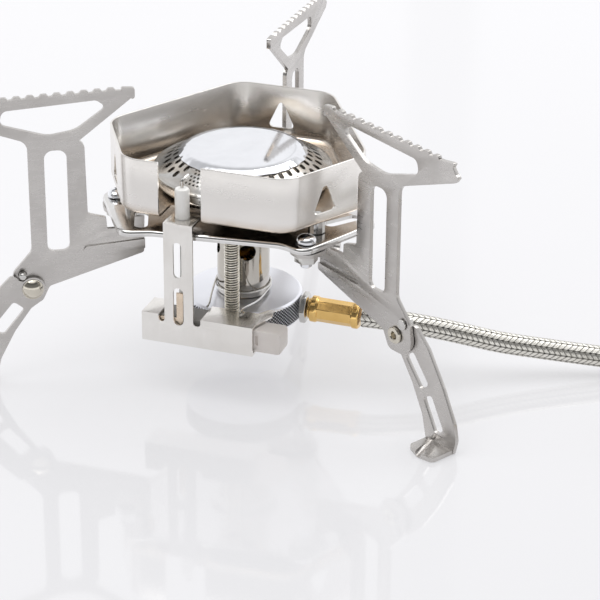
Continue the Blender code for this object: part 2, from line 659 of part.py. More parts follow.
def make_hose():
    path = smooth_route(HOSE_ROUTE, 12.0)
    part("hose", wire(path, HOSE_D, 2), BRAID, 50)
    r, w = COIL_R, HOSE_D / 2 + 0.2
    outline = [(r + w - 2, 15.2), (r + w, 13.2), (r + w, 2.0), (r + w - 2, 0.1)]
    outline += [(r - w + 2, 0.1), (r - w, 2.0), (r - w, 13.2), (r - w + 2, 15.2)]
    part("hose_coil", moved(turned(outline, 28), (*COIL_CENTRE, 0.0)), BRAID, 50)


def along_tail(distance, z=VALVE_Z):
    return (TAIL_POINT[0] + TAIL_HEADING[0] * distance, TAIL_POINT[1] + TAIL_HEADING[1] * distance, z)


def make_valve():
    """The valve that screws on the gas canister, lying behind the coil on the floor."""
    heading = (*TAIL_HEADING, 0.0)
    tube = [(0.0, 15.0), (3.4, 15.0), (3.4, 14.0), (4.65, 13.6), (4.65, 11.6), (4.25, 11.2), (4.25, 2.0)]
    tube += [(4.65, 1.6), (4.65, 0.4), (4.2, 0.0), (0.0, 0.0)]
    part("valve_ferrule", pointed(turned(tube, 14), along_tail(29.5), heading), BRASS, 35)
    x, y, _ = along_tail(57.0)
    body = [(0.0, 19.0), (7.4, 19.0), (8.2, 18.2), (8.6, 14.6), (12.0, 13.6), (12.0, 1.2), (11.4, 0.3)]
    body += [(9.6, 0.3), (9.6, 8.6), (0.0, 8.6)]
    part("valve_body", moved(turned(body, 24), (x, y, 0.0)), STEEL, 35)
    collar = [(9.2, 8.3), (9.2, 1.0), (8.8, 0.6), (5.9, 0.6), (5.5, 1.0), (5.5, 8.3)]
    part("canister_collar", moved(turned(collar, 16), (x, y, 0.0)), BRASS, 35)
    seal = [(5.2, 8.3), (5.2, 6.7), (2.0, 6.7), (2.0, 8.3)]
    part("valve_seal", moved(turned(seal, 14), (x, y, 0.0)), RUBBER, 35)
    stem = [(0.0, 7.0), (2.4, 7.0), (2.4, 2.0), (3.6, 2.0), (3.6, 0.0), (0.0, 0.0)]
    part("valve_spindle", pointed(turned(stem, 12), along_tail(69.3), heading), BRASS, 35)
    knob = [(0.0, 8.0), (6.0, 8.0), (6.8, 7.2), (6.8, 0.8), (6.0, 0.0), (0.0, 0.0)]
    start = along_tail(76.6)
    centred = Vector(start) * -1.0
    shape = moved(pointed(turned(knob, 24), start, heading), centred)
    part("valve_knob", shape, BLACK_PLASTIC, 35, start)
    side = Vector((TAIL_HEADING[1], -TAIL_HEADING[0], 0.0))
    bail = [(84.9, -4.6), (94.0, -5.4), (100.0, -5.6), (103.2, -3.6), (104.0, 0.0)]
    bail += [(s, -u) for s, u in bail[-2::-1]]
    path = [Vector(along_tail(s)) + side * u - Vector(start) for s, u in bail]
    part("valve_handle", wire(path, 2.0, 1), STEEL, 35, start)


# ---------------------------------------------------------------- whole


CORD_PARTS = {
    "hose",
    "hose_coil",
    "valve_ferrule",
    "valve_body",
    "canister_collar",
    "valve_seal",
    "valve_spindle",
    "valve_knob",
    "valve_handle",
}


def put_origin_under_middle():
    """Moves the stove so that the middle of its box, without the hose's own parts, is on the Z axis."""
    bpy.context.view_layer.update()
    stove = [obj for obj in PARTS.objects if obj.name not in CORD_PARTS]
    corners = [obj.matrix_world @ v.co for obj in stove for v in obj.data.vertices]
    middle = [(min(c[i] for c in corners) + max(c[i] for c in corners)) / 2 for i in (0, 1)]
    for obj in PARTS.objects:
        obj.matrix_world = Matrix.Translation((-middle[0], -middle[1], 0.0)) @ obj.matrix_world
    print(f"burner axis at x {-middle[0]:.6f} y {-middle[1]:.6f}")


clear_scene()
PARTS = collection("canister_stove")
make_gas_hub()
make_jet()
make_tube()
make_tube_collar()
make_bowl()
make_ring()
make_cap()
make_windshield()
make_base_plate()
make_windshield_fixings()
make_legs()
make_leg_fixings()
make_bracket()
make_igniter()
make_clip_and_sleeve()
make_inlet()
make_hose()
make_valve()
put_origin_under_middle()
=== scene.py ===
"""Looks of the folding canister stove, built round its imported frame. Metres; outlines in millimetres."""

import math

import bmesh
import bpy
from mathutils import Matrix, Vector


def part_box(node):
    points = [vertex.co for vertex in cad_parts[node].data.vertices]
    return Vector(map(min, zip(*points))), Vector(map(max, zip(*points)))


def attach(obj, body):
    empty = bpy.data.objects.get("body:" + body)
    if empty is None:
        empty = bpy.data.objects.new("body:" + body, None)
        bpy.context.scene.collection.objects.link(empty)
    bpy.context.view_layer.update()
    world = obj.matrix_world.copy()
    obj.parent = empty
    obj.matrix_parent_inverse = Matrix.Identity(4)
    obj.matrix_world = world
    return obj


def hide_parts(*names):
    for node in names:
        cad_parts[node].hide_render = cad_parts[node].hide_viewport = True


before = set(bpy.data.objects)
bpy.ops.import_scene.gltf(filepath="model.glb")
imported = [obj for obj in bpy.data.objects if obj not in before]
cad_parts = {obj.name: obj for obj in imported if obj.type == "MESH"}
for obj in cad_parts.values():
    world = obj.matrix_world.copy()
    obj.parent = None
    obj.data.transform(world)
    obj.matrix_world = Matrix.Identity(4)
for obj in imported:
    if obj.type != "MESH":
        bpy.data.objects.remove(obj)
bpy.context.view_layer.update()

MM = 0.001
HUB_LOW, HUB_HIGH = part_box("gas_hub")
AXIS = Vector(((HUB_LOW.x + HUB_HIGH.x) / 2, (HUB_LOW.y + HUB_HIGH.y) / 2, 0.0))
LEG_AZIMUTHS = {"rear": 90.0, "left": 210.0, "right": 330.0}
CAMERA_ANGLES = (18.71, 25.83, 0.46)  # azimuth, elevation and roll
CAMERA_LENS = 144.0
CAMERA_PLACE = (0.26134, -0.71004, 0.38703)  # metres from the burner's axis
TOOTH_DEPTH = 0.95
LEG_PIVOT = (42.3, -8.3)
LEG_SHEET = (3.3, 4.8)
BEAD_RISE = 0.9
LOWER_SHEET = (5.1, 6.6)
LOBE_R = 4.3
HINGE = (73.7, 34.3)
DETENT = (76.9, 39.3)
HUB_R = 20.75
HUB_Z = (16.4, 25.5)
KNURL_AROUND = 200
KNURL_ROWS = 11
KNURL_DEPTH = 0.42
TUBE_R = 9.1
TUBE_BORE_R = 8.3
AIR_HOLE_Z = 43.0
PLATE_Z = (58.0, 60.0)
PLATE_SHEET = 1.2
SHIELD_Z = (65.0, 85.0)
SHIELD_SHEET = 0.8
SHIELD_LONG = 37.3
SHIELD_SHORT = 43.7
SHIELD_CORNER_R = 10.0
SHIELD_FLOOR_R = 13.0
VENT_MIDDLES = {"rear": -1.2, "left": 0.3, "right": 1.5}
VENT_HALF_WIDTH = 5.2
VENT_Z = (69.2, 80.6)
RIVET_RING_R = 38.0
RIVET_HOLE_R = 1.7
PIVOT_HOLE_R = 2.15
CERAMIC = (-9.7, -32.1)
SLEEVE = (4.3, -23.0)
SLEEVE_R = 2.35
RING_PORTS = 40
SPARK_AZIMUTH = 252.0
HOSE_D = 7.5
BRAID_ROWS = 10
BRAID_PITCH = 1.95
BRAID_RELIEF = 0.16
HOSE_ROUTE = [
    (43.3, 1.2, 21.0),
    (50.0, 2.2, 20.7),
    (63.3, 5.2, 19.1),
    (76.0, 9.6, 16.1),
    (89.0, 14.4, 12.6),
    (104.0, 20.2, 9.7),
    (122.0, 26.5, 6.9),
    (140.0, 32.2, 4.5),
    (153.0, 36.2, 3.85),
]
COIL_CENTRE = (177.3, 1.0)
COIL_R = 41.0
COIL_START = 107.5
COIL_TURNS = 1.25
TAIL_POINT = (216.4, 13.3)
TAIL_HEADING = (0.301, -0.954)
VALVE_Z = 8.5


# ---------------------------------------------------------------- camera


def make_camera():
    """The photographer's view: a long lens 26 degrees above the table, 19 degrees to the right."""
    azimuth, elevation, roll = (math.radians(angle) for angle in CAMERA_ANGLES)
    right = Vector((math.cos(azimuth), math.sin(azimuth), 0.0))
    level = math.cos(elevation)
    back = Vector((math.sin(azimuth) * level, -math.cos(azimuth) * level, math.sin(elevation)))
    up = back.cross(right)
    side = right * math.cos(roll) + up * math.sin(roll)
    top = up * math.cos(roll) - right * math.sin(roll)
    data = bpy.data.cameras.new("camera")
    data.lens = CAMERA_LENS
    data.sensor_width = 36.0
    data.clip_start = 0.05
    camera = bpy.data.objects.new("camera", data)
    turn = Matrix((side, top, back)).transposed().to_4x4()
    camera.matrix_world = Matrix.Translation(AXIS + Vector(CAMERA_PLACE)) @ turn
    bpy.context.scene.collection.objects.link(camera)
    bpy.context.scene.camera = camera


# ---------------------------------------------------------------- outlines and meshes, as in the CAD


def arc(centre, radius, start, end, steps):
    angles = [math.radians(start + (end - start) * i / steps) for i in range(steps + 1)]
    return [(centre[0] + radius * math.cos(a), centre[1] + radius * math.sin(a)) for a in angles]


def circle(centre, radius, steps=48):
    return arc(centre, radius, 0.0, 360.0, steps)[:-1]


def rounded(corners, steps=8):
    """A closed outline from (x, y, radius) corners, each rounded by an arc of that radius."""
    points = []
    for i, (x, y, radius) in enumerate(corners):
        here = Vector((x, y))
        back = Vector(corners[i - 1][:2]) - here
        ahead = Vector(corners[(i + 1) % len(corners)][:2]) - here
        if radius <= 0.0:
            points.append((x, y))
            continue
        half = back.angle(ahead) / 2
        reach = min(radius / math.tan(half), 0.49 * back.length, 0.49 * ahead.length)
        radius = reach * math.tan(half)
        centre = here + (back.normalized() + ahead.normalized()).normalized() * (radius / math.sin(half))
        first = here + back.normalized() * reach - centre
        last = here + ahead.normalized() * reach - centre
        turn = first.angle_signed(last)
        for j in range(steps + 1):
            points.append(tuple(centre + Matrix.Rotation(-turn * j / steps, 2) @ first))
    return points


def obround(start, end, width, steps=12):
    angle = math.degrees(math.atan2(end[1] - start[1], end[0] - start[0]))
    return arc(start, width / 2, angle + 90, angle + 270, steps) + arc(
        end, width / 2, angle - 90, angle + 90, steps
    )


def mesh_from(points, faces):
    mesh = bpy.data.meshes.new("shape")
    mesh.from_pydata([tuple(c * MM for c in p) for p in points], [], faces)
    return cleaned(mesh)


def cleaned(mesh, join=1e-6):
    made = bmesh.new()
    made.from_mesh(mesh)
    bmesh.ops.remove_doubles(made, verts=made.verts, dist=join)
    bmesh.ops.recalc_face_normals(made, faces=made.faces)
    made.to_mesh(mesh)
    made.free()
    mesh.materials.clear()
    return mesh


def evaluated_mesh(obj):
    bpy.context.view_layer.update()
    return bpy.data.meshes.new_from_object(obj.evaluated_get(bpy.context.evaluated_depsgraph_get()))


def mesh_of_curve(curve):
    guide = bpy.data.objects.new("guide", curve)
    bpy.context.scene.collection.objects.link(guide)
    mesh = evaluated_mesh(guide)
    bpy.data.objects.remove(guide, do_unlink=True)
    return cleaned(mesh)


def sheet(outline, low, high, holes=(), plane="XY"):
    """A flat plate between two heights. In the plane XZ its heights run along Y."""
    curve = bpy.data.curves.new("outline", "CURVE")
    curve.dimensions = "2D"
    curve.fill_mode = "BOTH"
    curve.extrude = (high - low) / 2 * MM
    for loop in (outline, *holes):
        spline = curve.splines.new("POLY")
        spline.points.add(len(loop) - 1)
        for point, (x, y) in zip(spline.points, loop):
            point.co = (x * MM, y * MM, 0.0, 1.0)
        spline.use_cyclic_u = True
    mesh = mesh_of_curve(curve)
    if plane == "XZ":
        lift = Matrix.Rotation(math.pi / 2, 4, "X") @ Matrix.Translation((0.0, 0.0, -(low + high) / 2 * MM))
    else:
        lift = Matrix.Translation((0.0, 0.0, (low + high) / 2 * MM))
    mesh.transform(lift)
    return mesh


def wire(points, diameter, resolution=3):
    curve = bpy.data.curves.new("wire", "CURVE")
    curve.dimensions = "3D"
    curve.bevel_depth = diameter / 2 * MM
    curve.bevel_resolution = resolution
    curve.use_fill_caps = True
    spline = curve.splines.new("POLY")
    spline.points.add(len(points) - 1)
    for point, place in zip(spline.points, points):
        point.co = (*(c * MM for c in place), 1.0)
    return mesh_of_curve(curve)


def smooth_route(points, spacing):
    """Points along a smooth curve through the route's own points, about one per spacing."""
    ends = [Vector(p) for p in points]
    ends = [ends[0] * 2 - ends[1], *ends, ends[-1] * 2 - ends[-2]]
    path = []
    for a, b, c, d in zip(ends, ends[1:], ends[2:], ends[3:]):
        steps = max(1, round((c - b).length / spacing))
        for i in range(steps):
            t = i / steps
            point = 2 * b + (c - a) * t + (2 * a - 5 * b + 4 * c - d) * t * t
            point += (3 * b - a - 3 * c + d) * t**3
            path.append(0.5 * point)
    return [*path, ends[-2]]


def turned(outline, steps=96, shape=None):
    """A solid turned about Z. shape(radius, height, angle) may move a point in or out and up or down."""
    hollow = outline[0][0] > 0.0
    faces = []
    points = []
    count = len(outline)
    for i in range(steps):
        angle = 2 * math.pi * i / steps
        for r, z in outline:
            if shape:
                r, z = shape(r, z, angle)
            points.append((r * math.cos(angle), r * math.sin(angle), z))
        after = (i + 1) % steps * count
        for j in range(count if hollow else count - 1):
            k = (j + 1) % count
            faces.append((i * count + j, i * count + k, after + k, after + j))
    return mesh_from(points, faces)


def softened_profile(outline, radius=0.25, steps=3):
    """The outline of a turned part with its corners off the axis rounded."""
    result = []
    for i, (r, z) in enumerate(outline):
        if r <= 0.0 or i in (0, len(outline) - 1):
            result.append((r, z))
            continue
        here = Vector((r, z))
        back = Vector(outline[i - 1]) - here
        ahead = Vector(outline[i + 1]) - here
        if back.length < 1e-6 or ahead.length < 1e-6 or back.angle(ahead) > math.radians(165):
            result.append((r, z))
            continue
        reach = min(radius, 0.4 * back.length, 0.4 * ahead.length)
        first, last = here + back.normalized() * reach, here + ahead.normalized() * reach
        for j in range(steps + 1):
            t = j / steps
            result.append(tuple(first * (1 - t) ** 2 + here * 2 * t * (1 - t) + last * t * t))
    return result


def block(low, high):
    points = [(x, y, z) for x in (low[0], high[0]) for y in (low[1], high[1]) for z in (low[2], high[2])]
    faces = [(0, 1, 3, 2), (4, 6, 7, 5), (0, 4, 5, 1), (2, 3, 7, 6), (0, 2, 6, 4), (1, 5, 7, 3)]
    return mesh_from(points, faces)


def grid_faces(rows, gaps, count):
    """The quads in the gaps between rows of points, where each row goes once round."""
    faces = []
    for i in range(gaps):
        j = (i + 1) % rows
        for k in range(count):
            m = (k + 1) % count
            faces.append((i * count + k, i * count + m, j * count + m, j * count + k))
    return faces


def ring_mesh(loops):
    """A solid ring through closed loops of points, the last joined to the first."""
    return mesh_from([p for loop in loops for p in loop], grid_faces(len(loops), len(loops), len(loops[0])))


def swept_ring(outline_at, profile):
    return ring_mesh([[(x, y, z) for x, y in outline_at(inset)] for inset, z in profile])


def boolean(mesh, other, operation):
    base = bpy.data.objects.new("base", mesh)
    tool = bpy.data.objects.new("tool", other)
    for obj in (base, tool):
        bpy.context.scene.collection.objects.link(obj)
    change = base.modifiers.new("change", "BOOLEAN")
    change.solver = "EXACT"
    change.operation = operation
    change.object = tool
    result = evaluated_mesh(base)
    for obj in (base, tool):
        bpy.data.objects.remove(obj, do_unlink=True)
    result.materials.clear()
    return result


def joined(mesh, *others):
    for other in others:
        mesh = boolean(mesh, other, "UNION")
    return mesh


def cut(mesh, *others):
    for other in others:
        mesh = boolean(mesh, other, "DIFFERENCE")
    return mesh


def merged(meshes):
    """Several meshes as one, with nothing joined."""
    made = bmesh.new()
    for mesh in meshes:
        made.from_mesh(mesh)
    result = bpy.data.meshes.new("merged")
    made.to_mesh(result)
    made.free()
    return result


def moved(mesh, place=(0.0, 0.0, 0.0), turn=0.0, axis="Z"):
    spin = Matrix.Rotation(math.radians(turn), 4, axis)
    mesh.transform(Matrix.Translation(Vector(place) * MM) @ spin)
    return mesh


def pointed(mesh, start, heading):
    spin = Vector(heading).to_track_quat("Z", "Y").to_matrix().to_4x4()
    mesh.transform(Matrix.Translation(Vector(start) * MM) @ spin)
    return mesh


def rod(start, end, radius, steps=32):
    heading = Vector(end) - Vector(start)
    shape = turned([(0.0, heading.length), (radius, heading.length), (radius, 0.0), (0.0, 0.0)], steps)
    return pointed(shape, start, heading)


def leg_drill(place, radius, steps, low, azimuth):
    """An upright cutter at a place given for azimuth 0, turned to a leg's side."""
    return moved(rod((*place, low), (*place, 70), radius, steps), turn=azimuth)


def edge_rounded(mesh, width, segments=2, angle=35.0):
    """The mesh with its sharp edges rounded, and its flat faces made whole first."""
    made = bmesh.new()
    made.from_mesh(mesh)
    bmesh.ops.remove_doubles(made, verts=made.verts, dist=2e-6)
    bmesh.ops.dissolve_limit(made, angle_limit=math.radians(1.0), verts=made.verts, edges=made.edges)
    made.to_mesh(mesh)
    made.free()
    base = bpy.data.objects.new("base", mesh)
    bpy.context.scene.collection.objects.link(base)
    bevel = base.modifiers.new("bevel", "BEVEL")
    bevel.width = width * MM
    bevel.segments = segments
    bevel.limit_method = "ANGLE"
    bevel.angle_limit = math.radians(angle)
    bevel.use_clamp_overlap = True
    bevel.harden_normals = False
    result = evaluated_mesh(base)
    bpy.data.objects.remove(base, do_unlink=True)
    result.materials.clear()
    return result


# ---------------------------------------------------------------- pieces


def shown(name, mesh, place, look, body, instead, smooth):
    """The mesh as a shown object that rides on a body and stands for the CAD nodes in instead."""
    obj = bpy.data.objects.new(name, mesh)
    bpy.context.scene.collection.objects.link(obj)
    obj.matrix_world = place
    mesh.materials.clear()
    mesh.materials.append(look)
    mesh.shade_smooth()
    mesh.set_sharp_from_angle(angle=math.radians(smooth))
    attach(obj, body)
    if instead:
        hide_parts(*instead)
    return obj


def piece(name, mesh, look, body="stove", instead=(), azimuth=0.0, smooth=32.0):
    """A shown piece drawn round the burner's axis, riding on a body in place of CAD nodes."""
    mesh.transform(Matrix.Rotation(math.radians(azimuth), 4, "Z"))
    return shown(name, mesh, Matrix.Translation(AXIS), look, body, instead, smooth)


def rounded_copy(node, look, width, body="stove", segments=2):
    """A piece in the CAD node's own shape, with its sharp edges rounded."""
    mesh = edge_rounded(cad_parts[node].data.copy(), width, segments)
    return shown(f"{node}_finished", mesh, Matrix(), look, body, (node,), 40.0)


# ---------------------------------------------------------------- materials


class Tree:
    """A node tree, with short calls for the nodes used here."""

    def __init__(self, tree):
        self.tree = tree

    def add(self, kind, **settings):
        node = self.tree.nodes.new(kind)
        for key, value in settings.items():
            setattr(node, key, value)
        return node

    def link(self, source, target):
        self.tree.links.new(source, target)

    def place(self, scale=(1.0, 1.0, 1.0), source="Object"):
        coordinates = self.add("ShaderNodeTexCoord")
        mapping = self.add("ShaderNodeMapping")
        mapping.inputs["Scale"].default_value = scale
        self.link(coordinates.outputs[source], mapping.inputs["Vector"])
        return mapping.outputs["Vector"]

    def noise(self, vector, scale=1.0, detail=4.0, roughness=0.55, distortion=0.0):
        node = self.add("ShaderNodeTexNoise")
        node.inputs["Scale"].default_value = scale
        node.inputs["Detail"].default_value = detail
        node.inputs["Roughness"].default_value = roughness
        node.inputs["Distortion"].default_value = distortion
        self.link(vector, node.inputs["Vector"])
        return node.outputs["Fac"]

    def math(self, operation, a, b=0.0, clamp=False):
        node = self.add("ShaderNodeMath", operation=operation, use_clamp=clamp)
        for value, socket in ((a, node.inputs[0]), (b, node.inputs[1])):
            if isinstance(value, (int, float)):
                socket.default_value = value
            else:
                self.link(value, socket)
        return node.outputs[0]

    def span(self, value, low, high, to_low, to_high, smooth=False):
        node = self.add("ShaderNodeMapRange")
        if smooth:
            node.interpolation_type = "SMOOTHSTEP"
        for key, number in (("From Min", low), ("From Max", high), ("To Min", to_low), ("To Max", to_high)):
            node.inputs[key].default_value = number
        self.link(value, node.inputs["Value"])
        return node.outputs["Result"]

    def mix(self, factor, a, b):
        node = self.add("ShaderNodeMix", data_type="RGBA")
        for value, socket in ((factor, node.inputs[0]), (a, node.inputs[6]), (b, node.inputs[7])):
            if isinstance(value, (int, float)):
                socket.default_value = value
            elif isinstance(value, tuple):
                socket.default_value = (*value, 1.0)
            else:
                self.link(value, socket)
        return node.outputs[2]

    def split(self, vector):
        node = self.add("ShaderNodeSeparateXYZ")
        self.link(vector, node.inputs[0])
        return node.outputs


class Nodes(Tree):
    """A new material's node tree round its Principled shader."""

    def __init__(self, name, metallic, roughness, color):
        self.material = bpy.data.materials.new(name)
        self.material.use_nodes = True
        super().__init__(self.material.node_tree)
        self.shader = self.tree.nodes["Principled BSDF"]
        self.shader.inputs["Metallic"].default_value = metallic
        self.shader.inputs["Roughness"].default_value = roughness
        self.shader.inputs["Base Color"].default_value = (*color, 1.0)
        self.material.diffuse_color = (*color, 1.0)

    def bump(self, height, strength, distance):
        node = self.add("ShaderNodeBump")
        node.inputs["Strength"].default_value = strength
        node.inputs["Distance"].default_value = distance
        self.link(height, node.inputs["Height"])
        self.link(node.outputs["Normal"], self.shader.inputs["Normal"])


def metal(name, light, dark, roughness, grain, bump=0.12, spread=0.07, cloud=55.0, tint=None):
    """Brushed or polished metal: fine streaks along the grain's weak direction, and clouded colour."""
    n = Nodes(name, 1.0, roughness, light)
    streaks = n.noise(n.place(grain), 1.0, 5.0, 0.6)
    clouds = n.noise(n.place(), cloud, 3.0, 0.5, 0.4)
    color = n.mix(n.span(clouds, 0.35, 0.68, 0.0, 1.0), light, dark)
    color = n.mix(n.math("MULTIPLY", n.span(streaks, 0.3, 0.7, 0.0, 1.0), 0.25), color, dark)
    if tint:
        color = tint(n, color)
    n.link(color, n.shader.inputs["Base Color"])
    streaked = n.span(streaks, 0.3, 0.7, -spread, spread)
    clouded = n.span(clouds, 0.3, 0.7, -spread / 2, spread / 2)
    rough = n.math("ADD", n.math("ADD", streaked, clouded), roughness, clamp=True)
    n.link(rough, n.shader.inputs["Roughness"])
    n.bump(streaks, bump, 0.00004)
    return n.material


def heat_edge(low, high, amount, straw=(0.5, 0.36, 0.22)):
    """Heat tint that fades in from one height to another (mm)."""

    def tint(n, color):
        height = n.split(n.place())[2]
        rise = n.span(height, high * MM, low * MM, 0.0, amount, smooth=True)
        patches = n.span(n.noise(n.place(), 160.0, 3.0), 0.25, 0.7, 0.55, 1.0)
        return n.mix(n.math("MULTIPLY", rise, patches), color, straw)

    return tint


def burnt(n, color):
    """Straw and bluish heat colours in soft patches, as round a burner's ports."""
    patches = n.noise(n.place(), 70.0, 2.0, 0.5, 1.2)
    color = n.mix(n.span(patches, 0.42, 0.62, 0.0, 0.5), color, (0.5, 0.4, 0.28))
    return n.mix(n.span(patches, 0.58, 0.75, 0.0, 0.45), color, (0.32, 0.34, 0.42))


def knurl_shadow(n, color):
    """Painted shade: darkens the grooves of the hub's knurled edge, where little light gets in."""
    x, y, z = n.split(n.place())
    radius = n.math("SQRT", n.math("ADD", n.math("MULTIPLY", x, x), n.math("MULTIPLY", y, y)))
    groove = n.span(radius, (HUB_R - 0.3) * MM, (HUB_R - 0.18) * MM, 1.0, 0.0)
    side = n.span(radius, (HUB_R - 0.5) * MM, (HUB_R - 0.4) * MM, 0.0, 1.0)
    lower = n.span(z, (HUB_Z[0] + 0.7) * MM, (HUB_Z[0] + 1.0) * MM, 0.0, 1.0)
    upper = n.span(z, (HUB_Z[1] - 1.1) * MM, (HUB_Z[1] - 0.8) * MM, 1.0, 0.0)
    depth = n.math("MULTIPLY", n.math("MULTIPLY", groove, side), n.math("MULTIPLY", lower, upper))
    return n.mix(depth, color, (0.03, 0.03, 0.032))


def plastic(name, color, shade, roughness, scale=900.0, coat=0.0, bump=0.25):
    n = Nodes(name, 0.0, roughness, color)
    n.shader.inputs["Coat Weight"].default_value = coat
    grain = n.noise(n.place(), scale, 3.0, 0.6)
    clouds = n.noise(n.place(), 120.0, 2.0)
    n.link(n.mix(n.span(clouds, 0.3, 0.7, 0.0, 1.0), color, shade), n.shader.inputs["Base Color"])
    n.link(n.span(grain, 0.3, 0.7, roughness - 0.06, roughness + 0.08), n.shader.inputs["Roughness"])
    n.bump(grain, bump, 0.00003)
    return n.material


def braid(name):
    """Woven steel wire. Its strands lie in lengthwise rows that lean one way and the other by turns. The gaps
    between strands and between rows are coloured near-black as painted shade.
    """
    n = Nodes(name, 1.0, 0.3, (0.62, 0.61, 0.57))
    around, along, _ = n.split(n.place(source="UV"))
    row = n.math("MULTIPLY", around, float(BRAID_ROWS))
    lean = n.math("PINGPONG", row, 1.0)
    phase = n.math("ADD", n.math("MULTIPLY", along, 1.0 / BRAID_PITCH), lean)
    strand = n.math("ABSOLUTE", n.math("SINE", n.math("MULTIPLY", phase, math.pi)))
    strand = n.math("POWER", strand, 0.6)
    fine = n.math("ABSOLUTE", n.math("SINE", n.math("MULTIPLY", phase, math.pi * 4.0)))
    middle = n.math("ABSOLUTE", n.math("SUBTRACT", n.math("FRACT", row), 0.5))
    edge = n.span(middle, 0.3, 0.5, 1.0, 0.3, smooth=True)
    relief = n.math("ADD", n.math("MULTIPLY", strand, 0.8), n.math("MULTIPLY", fine, 0.2))
    height = n.math("MULTIPLY", relief, edge)
    # painted shade: the low parts of the weave, between strands and at the row edges, go near-black
    color = n.mix(n.span(height, 0.2, 0.72, 0.0, 1.0), (0.035, 0.033, 0.03), (0.86, 0.84, 0.78))
    wear = n.noise(n.place(), 300.0, 2.0)
    color = n.mix(n.span(wear, 0.4, 0.7, 0.0, 0.25), color, (0.5, 0.47, 0.4))
    n.link(color, n.shader.inputs["Base Color"])
    n.link(n.span(height, 0.2, 1.0, 0.5, 0.2), n.shader.inputs["Roughness"])
    n.bump(height, 0.8, 0.0002)
    return n.material


LEG_STEEL = metal("leg_steel", (0.6, 0.58, 0.56), (0.52, 0.5, 0.48), 0.3, (160, 160, 900), bump=0.06)
BRACKET_STEEL = metal(
    "bracket_steel", (0.88, 0.86, 0.83), (0.78, 0.755, 0.72), 0.2, (900, 120, 120), bump=0.03, spread=0.04
)
SHIELD_STEEL = metal(
    "shield_steel",
    (0.84, 0.815, 0.785),
    (0.79, 0.765, 0.735),
    0.26,
    (90, 90, 500),
    bump=0.008,
    spread=0.02,
    tint=heat_edge(64.5, 69.5, 0.75),
)
PLATE_STEEL = metal("plate_steel", (0.78, 0.77, 0.76), (0.62, 0.61, 0.6), 0.13, (700, 700, 700), bump=0.05)
MIRROR_STEEL = metal(
    "mirror_steel", (0.86, 0.87, 0.9), (0.78, 0.79, 0.82), 0.09, (400, 400, 400), bump=0.02, spread=0.03
)
HUB_STEEL = metal(
    "hub_steel",
    (0.92, 0.93, 0.98),
    (0.88, 0.89, 0.94),
    0.3,
    (400, 400, 400),
    bump=0.003,
    spread=0.01,
    tint=knurl_shadow,
)
TUBE_STEEL = metal(
    "tube_steel", (0.62, 0.595, 0.555), (0.48, 0.45, 0.4), 0.09, (900, 900, 120), bump=0.05, spread=0.04
)
RING_STEEL = metal("ring_steel", (0.72, 0.71, 0.69), (0.54, 0.53, 0.51), 0.2, (900, 900, 900), tint=burnt)
SMALL_STEEL = metal("small_steel", (0.72, 0.71, 0.69), (0.56, 0.55, 0.53), 0.18, (1200, 1200, 1200))
SPRING_STEEL = metal("spring_steel", (0.85, 0.82, 0.74), (0.6, 0.56, 0.47), 0.18, (2000, 2000, 2000))
RIVET_STEEL = metal("rivet_steel", (0.72, 0.68, 0.6), (0.6, 0.56, 0.48), 0.1, (900, 900, 900), bump=0.03)
BRASS = metal("brass", (0.86, 0.58, 0.22), (0.68, 0.42, 0.13), 0.13, (1500, 160, 160), bump=0.08)
COPPER = metal("copper", (0.8, 0.68, 0.55), (0.7, 0.56, 0.43), 0.32, (900, 900, 900))
CERAMIC_LOOK = plastic("ceramic", (0.93, 0.92, 0.9), (0.88, 0.87, 0.84), 0.22, 700.0, 0.4, 0.1)
BUTTON_LOOK = plastic("button_plastic", (0.8, 0.75, 0.71), (0.74, 0.69, 0.65), 0.42)
GREY_LOOK = plastic("grey_plastic", (0.36, 0.34, 0.32), (0.28, 0.27, 0.25), 0.5)
BLACK_LOOK = plastic("black_plastic", (0.03, 0.03, 0.032), (0.05, 0.05, 0.052), 0.42)
WHITE_LOOK = plastic("white_sleeve", (0.85, 0.85, 0.83), (0.78, 0.78, 0.75), 0.35)
RUBBER_LOOK = plastic("seal_rubber", (0.025, 0.025, 0.025), (0.045, 0.045, 0.045), 0.7)
BRAID_LOOK = braid("steel_braid")


# ---------------------------------------------------------------- hose and valve


def along_tail(distance, z=VALVE_Z):
    return (TAIL_POINT[0] + TAIL_HEADING[0] * distance, TAIL_POINT[1] + TAIL_HEADING[1] * distance, z)


def hose_line():
    """The hose's whole centreline: out of the fitting, down to the table, round the coil, into the valve."""
    floor, top = HOSE_D / 2 + 0.1, HOSE_D * 1.5 + 0.1
    controls = list(HOSE_ROUTE)
    steps = 20
    for i in range(steps + 1):
        turn = COIL_TURNS * i / steps
        angle = math.radians(COIL_START - 360.0 * turn)
        rise = min(max((turn - 0.78) / 0.2, 0.0), 1.0)
        z = floor + (top - floor) * rise * rise * (3 - 2 * rise)
        x, y = COIL_CENTRE[0] + COIL_R * math.cos(angle), COIL_CENTRE[1] + COIL_R * math.sin(angle)
        controls.append((x, y, z))
    controls += [along_tail(12.0, 10.6), along_tail(22.0, 9.0), along_tail(30.0)]
    return smooth_route(controls, 3.0)


def strand_height(around, along):
    """How far the braid stands out, from 0 to 1, at a share of a turn and a length in millimetres."""
    row = around * BRAID_ROWS
    lean = row % 2.0 if row % 2.0 < 1.0 else 2.0 - row % 2.0
    strand = abs(math.sin(math.pi * (along / BRAID_PITCH + lean))) ** 0.6
    return strand * (1.0 - 0.5 * abs(2.0 * (row % 1.0) - 1.0) ** 3)


